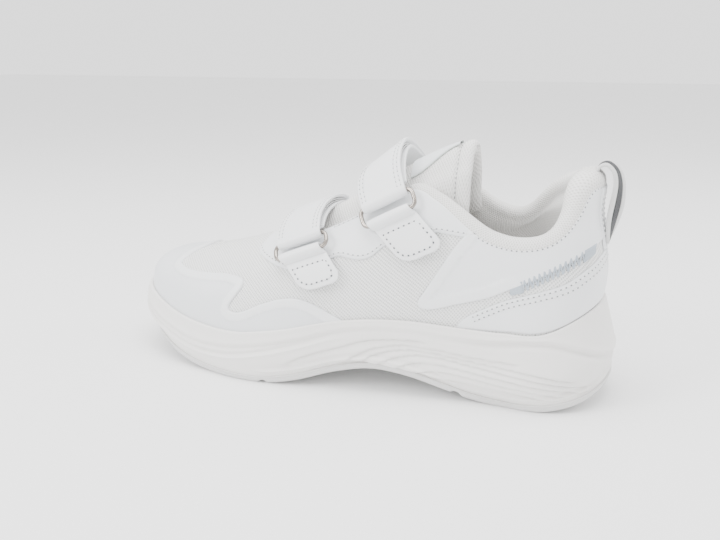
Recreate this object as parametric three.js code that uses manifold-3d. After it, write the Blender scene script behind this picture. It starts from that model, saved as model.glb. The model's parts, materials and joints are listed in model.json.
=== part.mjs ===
// A left cheer shoe with two strap-and-ring closures, as an assembly of named pieces.
// Millimetres, +Z up. The toe points along -X and the outer (lateral) side faces -Y.
import * as THREE from 'three';
import Module from 'manifold-3d';
import { mergeVertices } from 'three/addons/utils/BufferGeometryUtils.js';

const wasm = await Module();
wasm.setup();

// ---------------------------------------------------------------- driving dimensions
const LAST_LENGTH = 255; // length of the foot form inside the upper
const BALL_WIDTH = 91; // width of the foot form at the ball
const INSTEP_HEIGHT = 121; // height of the foot form's ridge at the ankle
const SOLE_LIFT = 1; // scale of the midsole's sculpted height

const GAP = 0.3; // space kept between pieces that touch
const LAYER_CLEARANCE = 0.8; // space kept where two layers meet on different stations
const OUTSOLE_THICKNESS = 3.2;
const TREAD_TRIM = 0.35; // how much of the rocker's lowest points is flattened
const CUP_DEPTH = 9; // how deep the midsole wraps round the upper
const UPPER_TUCK = 6.6; // how far the upper reaches into that cup
const BOARD_THICKNESS = 2;
const SOCKLINER_THICKNESS = 4;

const MESH_THICKNESS = 1.2;
const STIFFENER_THICKNESS = 1;
const LINING_THICKNESS = 0.8;
const OVERLAY_THICKNESS = 0.8;
const COLLAR_PADDING = 6.5;
const COLLAR_ROLL = 4.5; // how far the padded roll stands above the collar seam
const TONGUE_PADDING = 6;
const TONGUE_SKIN = 0.9;

const STRAP_WIDTH = 25;
const STRAP_THICKNESS = 1.6;
const TAPE_THICKNESS = 0.8; // hook tape and loop tape
const SIDE_CLEARANCE = 1; // between a strap's edge and the ring's side wires
const TAB_THICKNESS = 2.2;
const EYE_WALL = 1.3; // leather round the ring's lower bar
const WIRE_RADIUS = 1.1;
const BAR_CLEARANCE = 0.3;
const TAB_LEAN = 0.38; // how much the tabs slant backwards as they go down
const BACKSTAY_WIDTH = 14;
const PULL_TAB_WIDTH = 13;
const PULL_TAB_THICKNESS = 1.6;

// ---------------------------------------------------------------- curves of the foot form
// Stations run from 0 at the toe to 1 at the heel. Each knot is [station, value].
const DESIGN_LENGTH = 255;
const DESIGN_TOE = -133;
const lengthwise = LAST_LENGTH / DESIGN_LENGTH;
const widthwise = BALL_WIDTH / 91;
const heightwise = INSTEP_HEIGHT / 121;
const TOE = DESIGN_TOE * lengthwise;
const HEEL = TOE + LAST_LENGTH;

function smoothCurve(knots) {
  const slopes = knots.map((knot, i) => {
    const before = knots[Math.max(i - 1, 0)];
    const after = knots[Math.min(i + 1, knots.length - 1)];
    const left = (knot[1] - before[1]) / (knot[0] - before[0] || 1);
    const right = (after[1] - knot[1]) / (after[0] - knot[0] || 1);
    if (i === 0) return right;
    if (i === knots.length - 1) return left;
    const span = after[0] - before[0];
    return (left * (after[0] - knot[0]) + right * (knot[0] - before[0])) / span;
  });
  return (x) => {
    const at = THREE.MathUtils.clamp(x, knots[0][0], knots.at(-1)[0]);
    let i = knots.findIndex((knot) => knot[0] > at) - 1;
    if (i < 0) i = knots.length - 2;
    const [x0, y0] = knots[i];
    const [x1, y1] = knots[i + 1];
    const h = x1 - x0;
    const s = (at - x0) / h;
    const cubic = (2 * s ** 3 - 3 * s ** 2 + 1) * y0 + (3 * s ** 2 - 2 * s ** 3) * y1;
    return cubic + (s ** 3 - 2 * s ** 2 + s) * h * slopes[i] + (s ** 3 - s ** 2) * h * slopes[i + 1];
  };
}

// A curve drawn over the design length, read at a place on the real form.
function formCurve(knots, scale = 1) {
  const curve = smoothCurve(knots);
  return (x) => curve(x / lengthwise) * scale;
}

const halfWidth = formCurve([[-133, 36], [-105, 39], [-78, 43], [-50, 45.5], [-25, 44], [0, 39],
  [25, 34.5], [50, 33], [75, 33], [100, 33], [122, 32]], widthwise);
const centreLine = formCurve([[-133, 6], [-105, 4], [-78, 1.5], [-50, -1], [-25, -2.5], [0, -3.5],
  [25, -4], [50, -2.5], [75, -1], [100, 0], [122, 0]], widthwise);
const featherHeight = formCurve([[-133, 36], [-120, 33], [-105, 29], [-88, 25.5], [-60, 23.5],
  [-30, 28], [0, 35], [15, 37], [35, 38], [60, 37], [85, 36.5], [105, 38], [122, 49.5]], SOLE_LIFT);
const ridgeHeight = formCurve([[-133, 53], [-115, 55], [-95, 58.5], [-72, 64.5], [-50, 72],
  [-30, 81], [-10, 90], [10, 100], [30, 111], [45, 118], [60, 121], [80, 121], [122, 118]], heightwise);
const tongueRidge = formCurve([[-60, 68.5], [-30, 79.5], [-10, 88.8], [10, 101], [30, 113], [45, 120.5],
  [62, 127]], heightwise);
const squareness = formCurve([[-127, 0.75], [-100, 0.75], [-60, 0.88], [-20, 1], [20, 0.95],
  [50, 0.75], [80, 0.55], [122, 0.5]]);
const inwardLean = formCurve([[-20, 0], [30, 0.12], [60, 0.2], [90, 0.2], [122, 0.1]]);
const heelBulge = smoothCurve([[20, 0], [36, 0], [50, 4], [64, 5.5], [80, 3.5], [95, 0.5],
  [108, 1.5], [120, 3]]);

const TOE_ROUNDING = 52 * lengthwise;
const HEEL_ROUNDING = 33 * lengthwise;
const TOE_CAP = 18 * lengthwise;

function smoothStep(from, to, x) {
  return THREE.MathUtils.smoothstep(x, from, to);
}

function planRounding(x, inset) {
  const toeward = THREE.MathUtils.clamp((TOE + inset + TOE_ROUNDING - x) / TOE_ROUNDING, 0, 1);
  const heelward = THREE.MathUtils.clamp((x - HEEL + inset + HEEL_ROUNDING) / HEEL_ROUNDING, 0, 1);
  return (1 - toeward ** 2.3) ** (1 / 2.3) * (1 - heelward ** 2.4) ** (1 / 2.4);
}

// Values under a hundredth are zero, so that a form's closed ends meet in one point.
function clean(size) {
  return size > 0.01 ? size : 0;
}

// A point of the foot form: x is its station, angle runs from 0 on the lateral feather line
// over the ridge to PI on the medial one, and inset moves the whole surface inwards.
function formPoint(x, angle, inset = 0, ridge = ridgeHeight) {
  const width = clean((halfWidth(x) - inset) * planRounding(x, inset));
  const toeDrop = THREE.MathUtils.clamp((TOE + inset + TOE_CAP - x) / TOE_CAP, 0, 1);
  const rise = clean((ridge(x) - inset - featherHeight(x)) * (1 - toeDrop ** 2.4) ** (1 / 2.4));
  const cosine = Math.sign(Math.cos(angle)) * clean(Math.abs(Math.cos(angle))) ** squareness(x);
  const sine = clean(Math.sin(angle)) ** squareness(x);
  const y = centreLine(x) - width * (1 - inwardLean(x) * sine ** 2) * cosine;
  const z = featherHeight(x) + rise * sine;
  const back = heelBulge(z / heightwise) * lengthwise * smoothStep(50 * lengthwise, 110 * lengthwise, x);
  return new THREE.Vector3(x + back, y, z);
}

// ---------------------------------------------------------------- solids from loops of points
function geometryFromLoops(loops, capIndices = null) {
  const count = loops[0].length;
  const positions = loops.flat().flatMap((p) => [p.x, p.y, p.z]);
  const index = [];
  for (let row = 0; row < loops.length - 1; row += 1) {
    for (let i = 0; i < count; i += 1) {
      const a = row * count + i;
      const b = row * count + ((i + 1) % count);
      index.push(a, b, b + count, a, b + count, a + count);
    }
  }
  if (capIndices) {
    const last = (loops.length - 1) * count;
    for (const [a, b, c] of capIndices) {
      index.push(c, b, a, last + a, last + b, last + c);
    }
  }
  const geometry = new THREE.BufferGeometry();
  geometry.setAttribute('position', new THREE.Float32BufferAttribute(positions, 3));
  geometry.setIndex(index);
  return geometry;
}

function solidFrom(geometry) {
  const bare = geometry.clone();
  bare.deleteAttribute('normal');
  bare.deleteAttribute('uv');
  const merged = mergeVertices(bare, 1e-4);
  const source = merged.index.array;
  const kept = [];
  for (let i = 0; i < source.length; i += 3) {
    const [a, b, c] = [source[i], source[i + 1], source[i + 2]];
    if (a !== b && b !== c && a !== c) kept.push(a, b, c);
  }
  const vertProperties = new Float32Array(merged.attributes.position.array);
  const solid = new wasm.Manifold(new wasm.Mesh({
    numProp: 3, vertProperties, triVerts: new Uint32Array(kept),
  }));
  if (solid.volume() >= 0) return solid;
  for (let i = 0; i < kept.length; i += 3) [kept[i], kept[i + 1]] = [kept[i + 1], kept[i]];
  return new wasm.Manifold(new wasm.Mesh({
    numProp: 3, vertProperties, triVerts: new Uint32Array(kept),
  }));
}

function geometryFrom(solid) {
  const mesh = solid.getMesh();
  const geometry = new THREE.BufferGeometry();
  const positions = new Float32Array(mesh.vertProperties);
  geometry.setAttribute('position', new THREE.BufferAttribute(positions, 3));
  geometry.setIndex(new THREE.BufferAttribute(new Uint32Array(mesh.triVerts), 1));
  const flat = geometry.toNonIndexed();
  flat.computeVertexNormals();
  return flat;
}

// Every layer uses the same stations and angles, so that nested layers stay parallel.
const STATIONS = 24;
const ANGLES = 12;

function formLoops(inset, drop, ridge = ridgeHeight) {
  const loops = [];
  for (let i = 0; i <= STATIONS; i += 1) {
    const turn = Math.PI * (i / STATIONS);
    const reach = (1 - Math.cos(turn)) / 2;
    const x = TOE + inset + (LAST_LENGTH - 2 * inset) * reach;
    const loop = [];
    for (let j = 0; j <= ANGLES; j += 1) loop.push(formPoint(x, Math.PI * (j / ANGLES), inset, ridge));
    const near = loop[0].clone();
    const far = loop[ANGLES].clone();
    near.z -= drop;
    far.z -= drop;
    loop.push(far, near);
    loops.push(loop);
  }
  return loops;
}

function formSolid(inset, drop) {
  return solidFrom(geometryFromLoops(formLoops(inset, drop)));
}

// A shell between two insets of the form. It is open at the bottom.
function formSkin(outer, inner, drop = 0) {
  return formSolid(outer, drop).subtract(formSolid(inner, drop + 40));
}

// ---------------------------------------------------------------- cutters drawn in side view
const SIDE_PLANE = 30; // the outlines are true at this distance from the middle
const CUTTER_REACH = 90;

function designPoint([x, z]) {
  return new THREE.Vector2(x * lengthwise, z * heightwise);
}

// A prism through both sides of the shoe, with its own outline on each side.
function sideCutter(lateral, medial = lateral, from = -CUTTER_REACH, to = CUTTER_REACH) {
  const outlines = [lateral.map(designPoint), medial.map(designPoint)];
  if (THREE.ShapeUtils.isClockWise(outlines[0])) outlines.forEach((outline) => outline.reverse());
  const loops = [from, to].map((y) => outlines[0].map((near, i) => {
    const share = (y + SIDE_PLANE) / (2 * SIDE_PLANE);
    const x = THREE.MathUtils.lerp(near.x, outlines[1][i].x, share);
    const z = THREE.MathUtils.lerp(near.y, outlines[1][i].y, share);
    return new THREE.Vector3(x, y, z);
  }));
  const caps = THREE.ShapeUtils.triangulateShape(outlines[0], []);
  return solidFrom(geometryFromLoops(loops, caps));
}

const lateralCutter = (outline) => sideCutter(outline, outline, -CUTTER_REACH, 0);
const medialCutter = (outline) => sideCutter(outline, outline, 0, CUTTER_REACH);

// The opening: the throat's edges, then the collar seam round to the back. Above it all is cut.
const LATERAL_OPENING = [[-52, 67], [-30, 73], [-8, 81.5], [9, 90], [34, 103], [47, 99.8],
  [57, 93.5], [66.6, 86.5], [75, 82], [87, 79.5], [99.5, 81], [108, 86], [114, 95], [117.5, 104],
  [121, 108], [140, 108]];
const MEDIAL_OPENING = [[-52, 67], [-30, 73], [-8, 81.5], [9, 90], [34, 104], [46, 102.5],
  [54, 98], [62, 91], [70, 86.5], [80, 84.5], [88, 88], [94.5, 95], [101, 101.5], [110, 106],
  [121, 108], [140, 108]];

const THROAT_POINTS = 4; // the first points follow the throat, and the padded roll leaves them

function openingCutter(raise) {
  const lift = (outline) => outline.map(([x, z], i) => {
    if (i < THROAT_POINTS) return [x, z];
    const before = outline[i - 1];
    const after = outline[Math.min(i + 1, outline.length - 1)];
    const span = Math.hypot(after[0] - before[0], after[1] - before[1]);
    return [x - (raise * (after[1] - before[1])) / span, z + (raise * (after[0] - before[0])) / span];
  });
  const roof = [[140, 190], [-52, 190]];
  return sideCutter([...lift(LATERAL_OPENING), ...roof], [...lift(MEDIAL_OPENING), ...roof]);
}

// ---------------------------------------------------------------- materials and the assembly
const shoe = new THREE.Group();

function material(color, roughness, metalness = 0) {
  return { color, roughness, metalness };
}

const FINISH = {
  mesh: material(0xd9dadb, 0.85),
  film: material(0xdcdfe2, 0.5),
  leather: material(0xe4e6e8, 0.55),
  lining: material(0xc9cac9, 0.9),
  foam: material(0xd5d2c8, 0.95),
  eva: material(0xdedbd6, 0.6),
  rubber: material(0xd8d5cf, 0.75),
  board: material(0xb9b2a4, 0.9),
  reflective: material(0x7f8a96, 0.35),
  tape: material(0xe2e2e2, 0.95),
  webbing: material(0x3a3d42, 0.8),
  nickel: material(0xb8b4ad, 0.25, 1),
};

function addPiece(name, shape, finish) {
  const geometry = shape.isBufferGeometry ? shape : geometryFrom(shape);
  const mesh = new THREE.Mesh(geometry, new THREE.MeshStandardMaterial(finish));
  mesh.name = name;
  shoe.add(mesh);
}

// ---------------------------------------------------------------- sole
const groundHeight = formCurve([[-133, 21], [-122, 15], [-108, 8.5], [-92, 4], [-76, 1], [-62, 0],
  [-35, 0.5], [-20, 3.5], [0, 9.5], [18, 12.5], [36, 10.5], [55, 5.5], [72, 1.2], [82, 0], [98, 0],
  [108, 1.6], [116, 5], [122, 10]], SOLE_LIFT);
const bottomFlare = formCurve([[-133, -2], [-110, 1], [-60, 3], [0, 0], [50, 0], [90, 1], [110, 5],
  [122, 6]]);
const bulgeFlare = formCurve([[-133, 5.5], [-60, 5], [0, 4], [50, 5], [90, 7], [110, 8.5], [122, 8.5]]);
const bulgeHeight = formCurve([[-133, 28], [-115, 21], [-60, 11], [0, 18], [50, 14], [90, 15],
  [110, 19], [122, 26]], SOLE_LIFT);
const lipFlare = formCurve([[-127, 3], [-60, 3], [0, 2.5], [90, 3], [122, 2.5]]);
const LIP_RISE = 0.5;
const SOLE_STATIONS = 30;

// The feather line seen from above, with its outward direction, lateral side first.
function featherLoop() {
  const stations = [];
  for (let i = 0; i <= SOLE_STATIONS; i += 1) {
    stations.push(TOE + LAST_LENGTH * ((1 - Math.cos(Math.PI * (i / SOLE_STATIONS))) / 2));
  }
  const lateral = stations.map((x) => ({ x, y: formPoint(x, 0).y }));
  const medial = stations.map((x) => ({ x, y: formPoint(x, Math.PI).y })).reverse();
  const loop = [...lateral, ...medial];
  return loop.map((point, i) => {
    let before = loop[(i + loop.length - 1) % loop.length];
    let after = loop[(i + 1) % loop.length];
    if (Math.hypot(before.x - point.x, before.y - point.y) < 1e-6) {
      before = loop[(i + loop.length - 2) % loop.length];
    }
    if (Math.hypot(after.x - point.x, after.y - point.y) < 1e-6) after = loop[(i + 2) % loop.length];
    const along = new THREE.Vector2(after.x - before.x, after.y - before.y).normalize();
    return { ...point, outward: new THREE.Vector2(along.y, -along.x) };
  });
}

const FEATHER = featherLoop();

function soleRing(flareAt, heightAt) {
  return FEATHER.map(({ x, y, outward }) => {
    const flare = flareAt(x);
    return new THREE.Vector3(x + outward.x * flare, y + outward.y * flare, heightAt(x));
  });
}

function soleSolid(rings) {
  const caps = [];
  for (let i = 0; i < SOLE_STATIONS; i += 1) {
    const across = FEATHER.length - 1 - i;
    caps.push([i, i + 1, across], [i + 1, across - 1, across]);
  }
  return solidFrom(geometryFromLoops(rings, caps));
}

const flareBetween = (low, high, share) => (x) => low(x) * (1 - share) + high(x) * share;
const raised = (height, by) => (x) => height(x) + by;
const WELT = 0.3; // share of the way from the ground up to the bulge
const weltHeight = (x) => groundHeight(x) + (bulgeHeight(x) - groundHeight(x)) * WELT;
const shoulderHeight = (x) => bulgeHeight(x) * 0.4 + featherHeight(x) * 0.6;

function trimmedTread() {
  const rings = [
    soleRing(bottomFlare, raised(groundHeight, -TREAD_TRIM)),
    soleRing(raised(bottomFlare, 1.2), raised(groundHeight, OUTSOLE_THICKNESS / 2)),
    soleRing(raised(bottomFlare, 1.2), raised(groundHeight, OUTSOLE_THICKNESS)),
  ];
  const floor = sideCutter([[-160, -20], [160, -20], [160, 0], [-160, 0]]);
  return soleSolid(rings).subtract(floor);
}

function midsole() {
  const block = soleSolid([
    soleRing(raised(bottomFlare, 0.8), raised(groundHeight, OUTSOLE_THICKNESS + GAP)),
    soleRing(flareBetween(bottomFlare, bulgeFlare, 0.55), raised(weltHeight, OUTSOLE_THICKNESS)),
    soleRing(bulgeFlare, raised(bulgeHeight, 1)),
    soleRing(flareBetween(bulgeFlare, lipFlare, 0.5), shoulderHeight),
    soleRing(lipFlare, raised(featherHeight, LIP_RISE)),
    soleRing(() => 0, featherHeight),
  ]);
  return block.subtract(formSolid(-OVERLAY_THICKNESS - 2 * GAP, CUP_DEPTH + GAP));
}

// A flat layer inside the cup, between two depths below the feather line.
function cupLayer(inset, top, bottom) {
  const loops = formLoops(inset, bottom).map((loop) => {
    const near = loop[0].clone();
    const far = loop[ANGLES].clone();
    near.z -= top;
    far.z -= top;
    return [near, far, loop[ANGLES + 1], loop[ANGLES + 2]];
  });
  return solidFrom(geometryFromLoops(loops));
}

addPiece('outsole', trimmedTread(), FINISH.rubber);
addPiece('midsole', midsole(), FINISH.eva);
addPiece('insole_board', cupLayer(0, CUP_DEPTH - BOARD_THICKNESS, CUP_DEPTH), FINISH.board);

// ---------------------------------------------------------------- upper shells
const STIFFENER_OUTER = MESH_THICKNESS + GAP;
const STIFFENER_INNER = STIFFENER_OUTER + STIFFENER_THICKNESS;
const LINING_OUTER = STIFFENER_INNER + GAP;
const LINING_INNER = LINING_OUTER + LINING_THICKNESS;
const SOCKLINER_BOTTOM = CUP_DEPTH - BOARD_THICKNESS - LAYER_CLEARANCE;

addPiece('sockliner', cupLayer(LINING_INNER + GAP, SOCKLINER_BOTTOM - SOCKLINER_THICKNESS,
  SOCKLINER_BOTTOM), FINISH.lining);

const opening = openingCutter(0);
const COLLAR_FRONT = 67;
const COLLAR_BAND = [[COLLAR_FRONT, 70], [70, 62], [88, 60], [112, 66], [140, 72], [140, 150],
  [COLLAR_FRONT, 150]];
const collarBand = sideCutter(COLLAR_BAND);
const HEEL_POCKET = [[66, 10], [140, 10], [140, 70], [112, 64], [88, 58], [66, 58]];
const TOE_POCKET = [[-150, 10], [-100, 10], [-104, 70], [-150, 70]];

addPiece('mesh_upper', formSkin(0, MESH_THICKNESS, UPPER_TUCK).subtract(opening), FINISH.mesh);
addPiece('vamp_lining', formSkin(LINING_OUTER, LINING_INNER, UPPER_TUCK).subtract(opening)
  .subtract(collarBand), FINISH.lining);
const stiffener = formSkin(STIFFENER_OUTER, STIFFENER_INNER, UPPER_TUCK);
addPiece('toe_puff', stiffener.intersect(sideCutter(TOE_POCKET)), FINISH.board);
addPiece('heel_counter', stiffener.intersect(sideCutter(HEEL_POCKET)), FINISH.board);

// ---------------------------------------------------------------- padded collar
const COLLAR_OUTER = MESH_THICKNESS + GAP;
const COLLAR_INNER = COLLAR_OUTER + COLLAR_PADDING + 2 * (LINING_THICKNESS + GAP);
const rollTop = openingCutter(COLLAR_ROLL);
const foamTop = openingCutter(COLLAR_ROLL - LINING_THICKNESS - 2 * GAP);
const cavityTop = openingCutter(COLLAR_ROLL - LINING_THICKNESS);
const PAD = LINING_THICKNESS + 2 * GAP;
const COLLAR_TOP = 150;
const COLLAR_FOAM_TOP = 108.5;
const insideBand = (forward, lower, top) => COLLAR_BAND.map(([x, z]) => [
  x === COLLAR_FRONT ? x + forward : x, z < COLLAR_TOP ? z + lower : top]);
const foamBand = sideCutter(insideBand(PAD, 1, COLLAR_FOAM_TOP));
const padding = formSkin(COLLAR_OUTER + PAD, COLLAR_INNER - PAD).subtract(foamTop).intersect(foamBand);
const cavity = formSkin(COLLAR_OUTER + LINING_THICKNESS, COLLAR_INNER - LINING_THICKNESS)
  .subtract(cavityTop).intersect(sideCutter(insideBand(LINING_THICKNESS, -1, COLLAR_TOP)));
const cover = formSkin(COLLAR_OUTER, COLLAR_INNER).subtract(rollTop).intersect(collarBand);
addPiece('collar_foam', padding, FINISH.foam);
addPiece('collar_lining', cover.subtract(cavity), FINISH.lining);

// ---------------------------------------------------------------- overlays on the mesh
const overlay = formSkin(-GAP - OVERLAY_THICKNESS, -GAP).subtract(opening);
const TOE_OVERLAY = [[-150, 10], [-150, 80], [-103, 80], [-103, 54], [-94, 51], [-76, 52], [-62, 53.5],
  [-53, 52], [-54.5, 46], [-60, 38], [-57, 35.5], [-42, 41], [-27, 46], [-12, 45], [-3, 41], [9, 33],
  [9, 10]];
const EYESTAY = [[-54, 90], [-54, 68], [-47, 64], [-40, 62], [-26, 60], [-12, 62.5], [-1, 68.5],
  [11, 67.5], [17, 70], [24, 76], [36, 81], [50, 84.5], [60, 83.5], [67, 84], [76, 90], [76, 130],
  [-54, 130]];
const QUARTER = [[62, 82.5], [57, 75], [51, 65], [45, 55], [42, 48.5], [48, 47.5], [61, 50], [76, 55],
  [87, 60], [100, 66.5], [124, 81], [132, 95], [132, 112], [72, 112], [72, 84]];
const REFLECTIVE = [[86, 57.5], [93, 60], [118, 73.5], [122, 77.5], [122, 80.5], [113, 76.5],
  [88, 63], [86, 62]];
const HEEL_PANEL = [[52, 20], [56, 40], [69, 46], [84, 53.5], [98, 58.5], [111, 64], [118, 69],
  [124, 74], [140, 80], [140, 20]];

addPiece('toe_overlay', overlay.intersect(sideCutter(TOE_OVERLAY)), FINISH.film);
addPiece('heel_panel', overlay.intersect(sideCutter(HEEL_PANEL)), FINISH.leather);
const SIDES = { lateral: lateralCutter, medial: medialCutter };
const STRIP_OUTER = -2 * (GAP + OVERLAY_THICKNESS);
const strip = formSkin(STRIP_OUTER + OVERLAY_THICKNESS / 2, STRIP_OUTER + OVERLAY_THICKNESS);
const BACK_HALF = BACKSTAY_WIDTH / 2;
const backZone = sideCutter([[100, 10], [150, 10], [150, 130], [100, 130]], undefined,
  -BACK_HALF - GAP, BACK_HALF + GAP);
for (const [side, cutter] of Object.entries(SIDES)) {
  addPiece(`eyestay_${side}`, overlay.intersect(cutter(EYESTAY)), FINISH.leather);
  const quarter = overlay.intersect(cutter(QUARTER)).subtract(backZone);
  addPiece(`quarter_panel_${side}`, quarter, FINISH.leather);
  const band = strip.intersect(cutter(REFLECTIVE)).subtract(backZone);
  addPiece(`reflective_strip_${side}`, band, FINISH.reflective);
}
const BACKSTAY = [[100, 84], [140, 84], [140, 130], [100, 130]];
const backColumn = sideCutter(BACKSTAY, BACKSTAY, -BACK_HALF, BACK_HALF);
addPiece('backstay', overlay.intersect(backColumn), FINISH.leather);

// ---------------------------------------------------------------- tongue
const TONGUE_START = -44 * lengthwise;
const TONGUE_END = 56 * lengthwise;
const TONGUE_STATIONS = 10;
const TONGUE_COLUMNS = 12;
const TONGUE_SPREAD = THREE.MathUtils.degToRad(46); // half the tongue's reach round the form
const TONGUE_TOP_SPREAD = THREE.MathUtils.degToRad(47); // the same between the collar's ends
const TONGUE_CROWN = THREE.MathUtils.degToRad(25); // half the part that rises in the throat
const TONGUE_EDGE = LINING_INNER + 2; // depth of the tongue's edges under the eyestays
const TONGUE_RISE = 7; // how far its middle rises above those edges

// A point of the tongue: share runs from -1 on its lateral edge to 1 on its medial edge.
function tonguePoint(x, share, depth) {
  const narrowing = smoothStep(18 * lengthwise, 44 * lengthwise, x);
  const offset = share * THREE.MathUtils.lerp(TONGUE_SPREAD, TONGUE_TOP_SPREAD, narrowing);
  const middle = 1 - smoothStep(0, 1, Math.abs(offset) / TONGUE_CROWN);
  const rise = TONGUE_RISE * middle * smoothStep(TONGUE_START, TONGUE_START + 30, x);
  return formPoint(x, Math.PI / 2 + offset, TONGUE_EDGE - rise + depth, tongueRidge);
}

// A curved slab of the tongue between two depths, over part of its length and width.
function tongueSlab(top, bottom, from, to, left = -1, right = 1, columns = TONGUE_COLUMNS) {
  const loops = [];
  for (let i = 0; i <= TONGUE_STATIONS; i += 1) {
    const x = THREE.MathUtils.lerp(from, to, i / TONGUE_STATIONS);
    const shares = [];
    for (let j = 0; j <= columns; j += 1) shares.push(THREE.MathUtils.lerp(left, right, j / columns));
    const upper = shares.map((share) => tonguePoint(x, share, top));
    const lower = shares.map((share) => tonguePoint(x, share, bottom)).reverse();
    loops.push([...upper, ...lower]);
  }
  const caps = [];
  const last = 2 * columns + 1;
  for (let j = 0; j < columns; j += 1) {
    caps.push([j, j + 1, last - j - 1], [j, last - j - 1, last - j]);
  }
  return solidFrom(geometryFromLoops(loops, caps));
}

const FOAM_TOP = TONGUE_SKIN + 3 * GAP;
const FOAM_BOTTOM = FOAM_TOP + TONGUE_PADDING;
const TONGUE_BACK = FOAM_BOTTOM + 3 * GAP;
const BINDING_LENGTH = 5;
const TRIM_START = 36 * lengthwise;
const TRIM_TOP = -GAP - OVERLAY_THICKNESS;
const BINDING_START = TONGUE_END + GAP;
addPiece('tongue_face', tongueSlab(0, TONGUE_SKIN, TONGUE_START, TONGUE_END), FINISH.mesh);
addPiece('tongue_foam', tongueSlab(FOAM_TOP, FOAM_BOTTOM, TONGUE_START, TONGUE_END), FINISH.foam);
addPiece('tongue_lining', tongueSlab(TONGUE_BACK, TONGUE_BACK + TONGUE_SKIN, TONGUE_START, TONGUE_END),
  FINISH.lining);
addPiece('tongue_binding', tongueSlab(0, TONGUE_BACK + TONGUE_SKIN, BINDING_START,
  BINDING_START + BINDING_LENGTH), FINISH.mesh);
addPiece('tongue_trim', tongueSlab(TRIM_TOP, -GAP, TRIM_START, TONGUE_END, -0.6, -0.2, 4), FINISH.film);

// ---------------------------------------------------------------- straps, rings and tabs
const TAB_WIDTH = STRAP_WIDTH - SIDE_CLEARANCE;
const RING_INNER_WIDTH = STRAP_WIDTH + 2 * SIDE_CLEARANCE;
const TAB_LIFT = OVERLAY_THICKNESS + 4 * GAP;
const FOLD_INNER = WIRE_RADIUS + BAR_CLEARANCE;
const FOLD_OUTER = FOLD_INNER + STRAP_THICKNESS;
const LOOP_OUTER = FOLD_INNER + EYE_WALL;
const BAR_HEIGHT = FOLD_OUTER + OVERLAY_THICKNESS + 5 * GAP; // of the bars above the foot form
const FLAP_BOTTOM = BAR_HEIGHT + FOLD_INNER;
const HOOK_TOP = FLAP_BOTTOM - GAP;
const LOOP_TOP = HOOK_TOP - TAPE_THICKNESS - GAP;
const BASE_TOP = LOOP_TOP - TAPE_THICKNESS - GAP;
const PATH_STEPS = 26;
const BAND_STEPS = 28;

// The bar gap is the daylight between a tab's eye and its strap's fold. On its way over the instep
// a strap drifts backwards, and its front edge twists down.
const STRAPS = {
  front: { station: -18.5, barAngle: 41, axisAngle: 48, crownRise: -1.5, barGap: 3, drift: 2.5, twist: 0 },
  rear: { station: 27, barAngle: 43, axisAngle: 50, crownRise: 8.5, barGap: 4.4, drift: 5, twist: 5 },
};
const TAB_FOOT_ANGLE = 20;
const FLAP_END_ANGLE = 124;
const BASE_END_ANGLE = 142;
const PATCH_START_ANGLE = 131;
const ROOT_RISE = 3; // extra height over the medial eyestay, where the strap is sewn down

// The strap runs in a plane square to the ring's bars: a frame for that plane, and the form's
// outline in it as a path with heights measured outwards.
function strapPlane({ station, barAngle, axisAngle, crownRise }) {
  const rad = THREE.MathUtils.degToRad;
  const x = station * lengthwise;
  const reach = STRAP_WIDTH / 2;
  const along = formPoint(x + reach, rad(axisAngle)).sub(formPoint(x - reach, rad(axisAngle)));
  along.normalize();
  const origin = formPoint(x, rad(barAngle));
  const across = new THREE.Vector3(0, 1, 0).addScaledVector(along, -along.y).normalize();
  const up = new THREE.Vector3().crossVectors(along, across);
  const rise = (angle) => crownRise * smoothStep(rad(barAngle), rad(90), angle)
    - (crownRise - ROOT_RISE) * smoothStep(rad(90), rad(BASE_END_ANGLE), angle);
  const outline = (angle) => {
    let low = x - 60;
    let high = x + 60;
    for (let i = 0; i < 40; i += 1) {
      const middle = (low + high) / 2;
      const distance = formPoint(middle, angle).sub(origin).dot(along);
      if (distance > 0) high = middle;
      else low = middle;
    }
    const offset = formPoint(low, angle).sub(origin);
    return new THREE.Vector2(offset.dot(across), offset.dot(up) + rise(angle));
  };
  const from = rad(TAB_FOOT_ANGLE - 4);
  const to = rad(BASE_END_ANGLE + 4);
  const points = [];
  for (let i = 0; i <= PATH_STEPS; i += 1) {
    points.push(outline(THREE.MathUtils.lerp(from, to, i / PATH_STEPS)));
  }
  const spline = new THREE.SplineCurve(points);
  const lengthAt = (angle) => {
    const target = outline(rad(angle));
    let best = 0;
    let nearest = Infinity;
    for (let i = 0; i <= 400; i += 1) {
      const distance = spline.getPointAt(i / 400).distanceTo(target);
      if (distance < nearest) [nearest, best] = [distance, i / 400];
    }
    return best;
  };
  const crest = outline(rad(90)).x;
  const root = outline(rad(BASE_END_ANGLE)).x;
  return { along, across, up, origin, spline, lengthAt, crest, root, length: spline.getLength() };
}

function offsetPoint(plane, share, height) {
  const tangent = plane.spline.getTangentAt(share);
  return plane.spline.getPointAt(share).add(new THREE.Vector2(-tangent.y, tangent.x).multiplyScalar(height));
}

function offsetLine(plane, from, to, height, steps) {
  const points = [];
  for (let i = 0; i <= steps; i += 1) {
    points.push(offsetPoint(plane, THREE.MathUtils.lerp(from, to, i / steps), height));
  }
  return points;
}

function arcPoints(centre, radius, from, to, steps) {
  const points = [];
  for (let i = 0; i <= steps; i += 1) {
    const angle = THREE.MathUtils.lerp(from, to, i / steps);
    points.push(new THREE.Vector2(centre.x + radius * Math.cos(angle), centre.y + radius * Math.sin(angle)));
  }
  return points;
}

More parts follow.
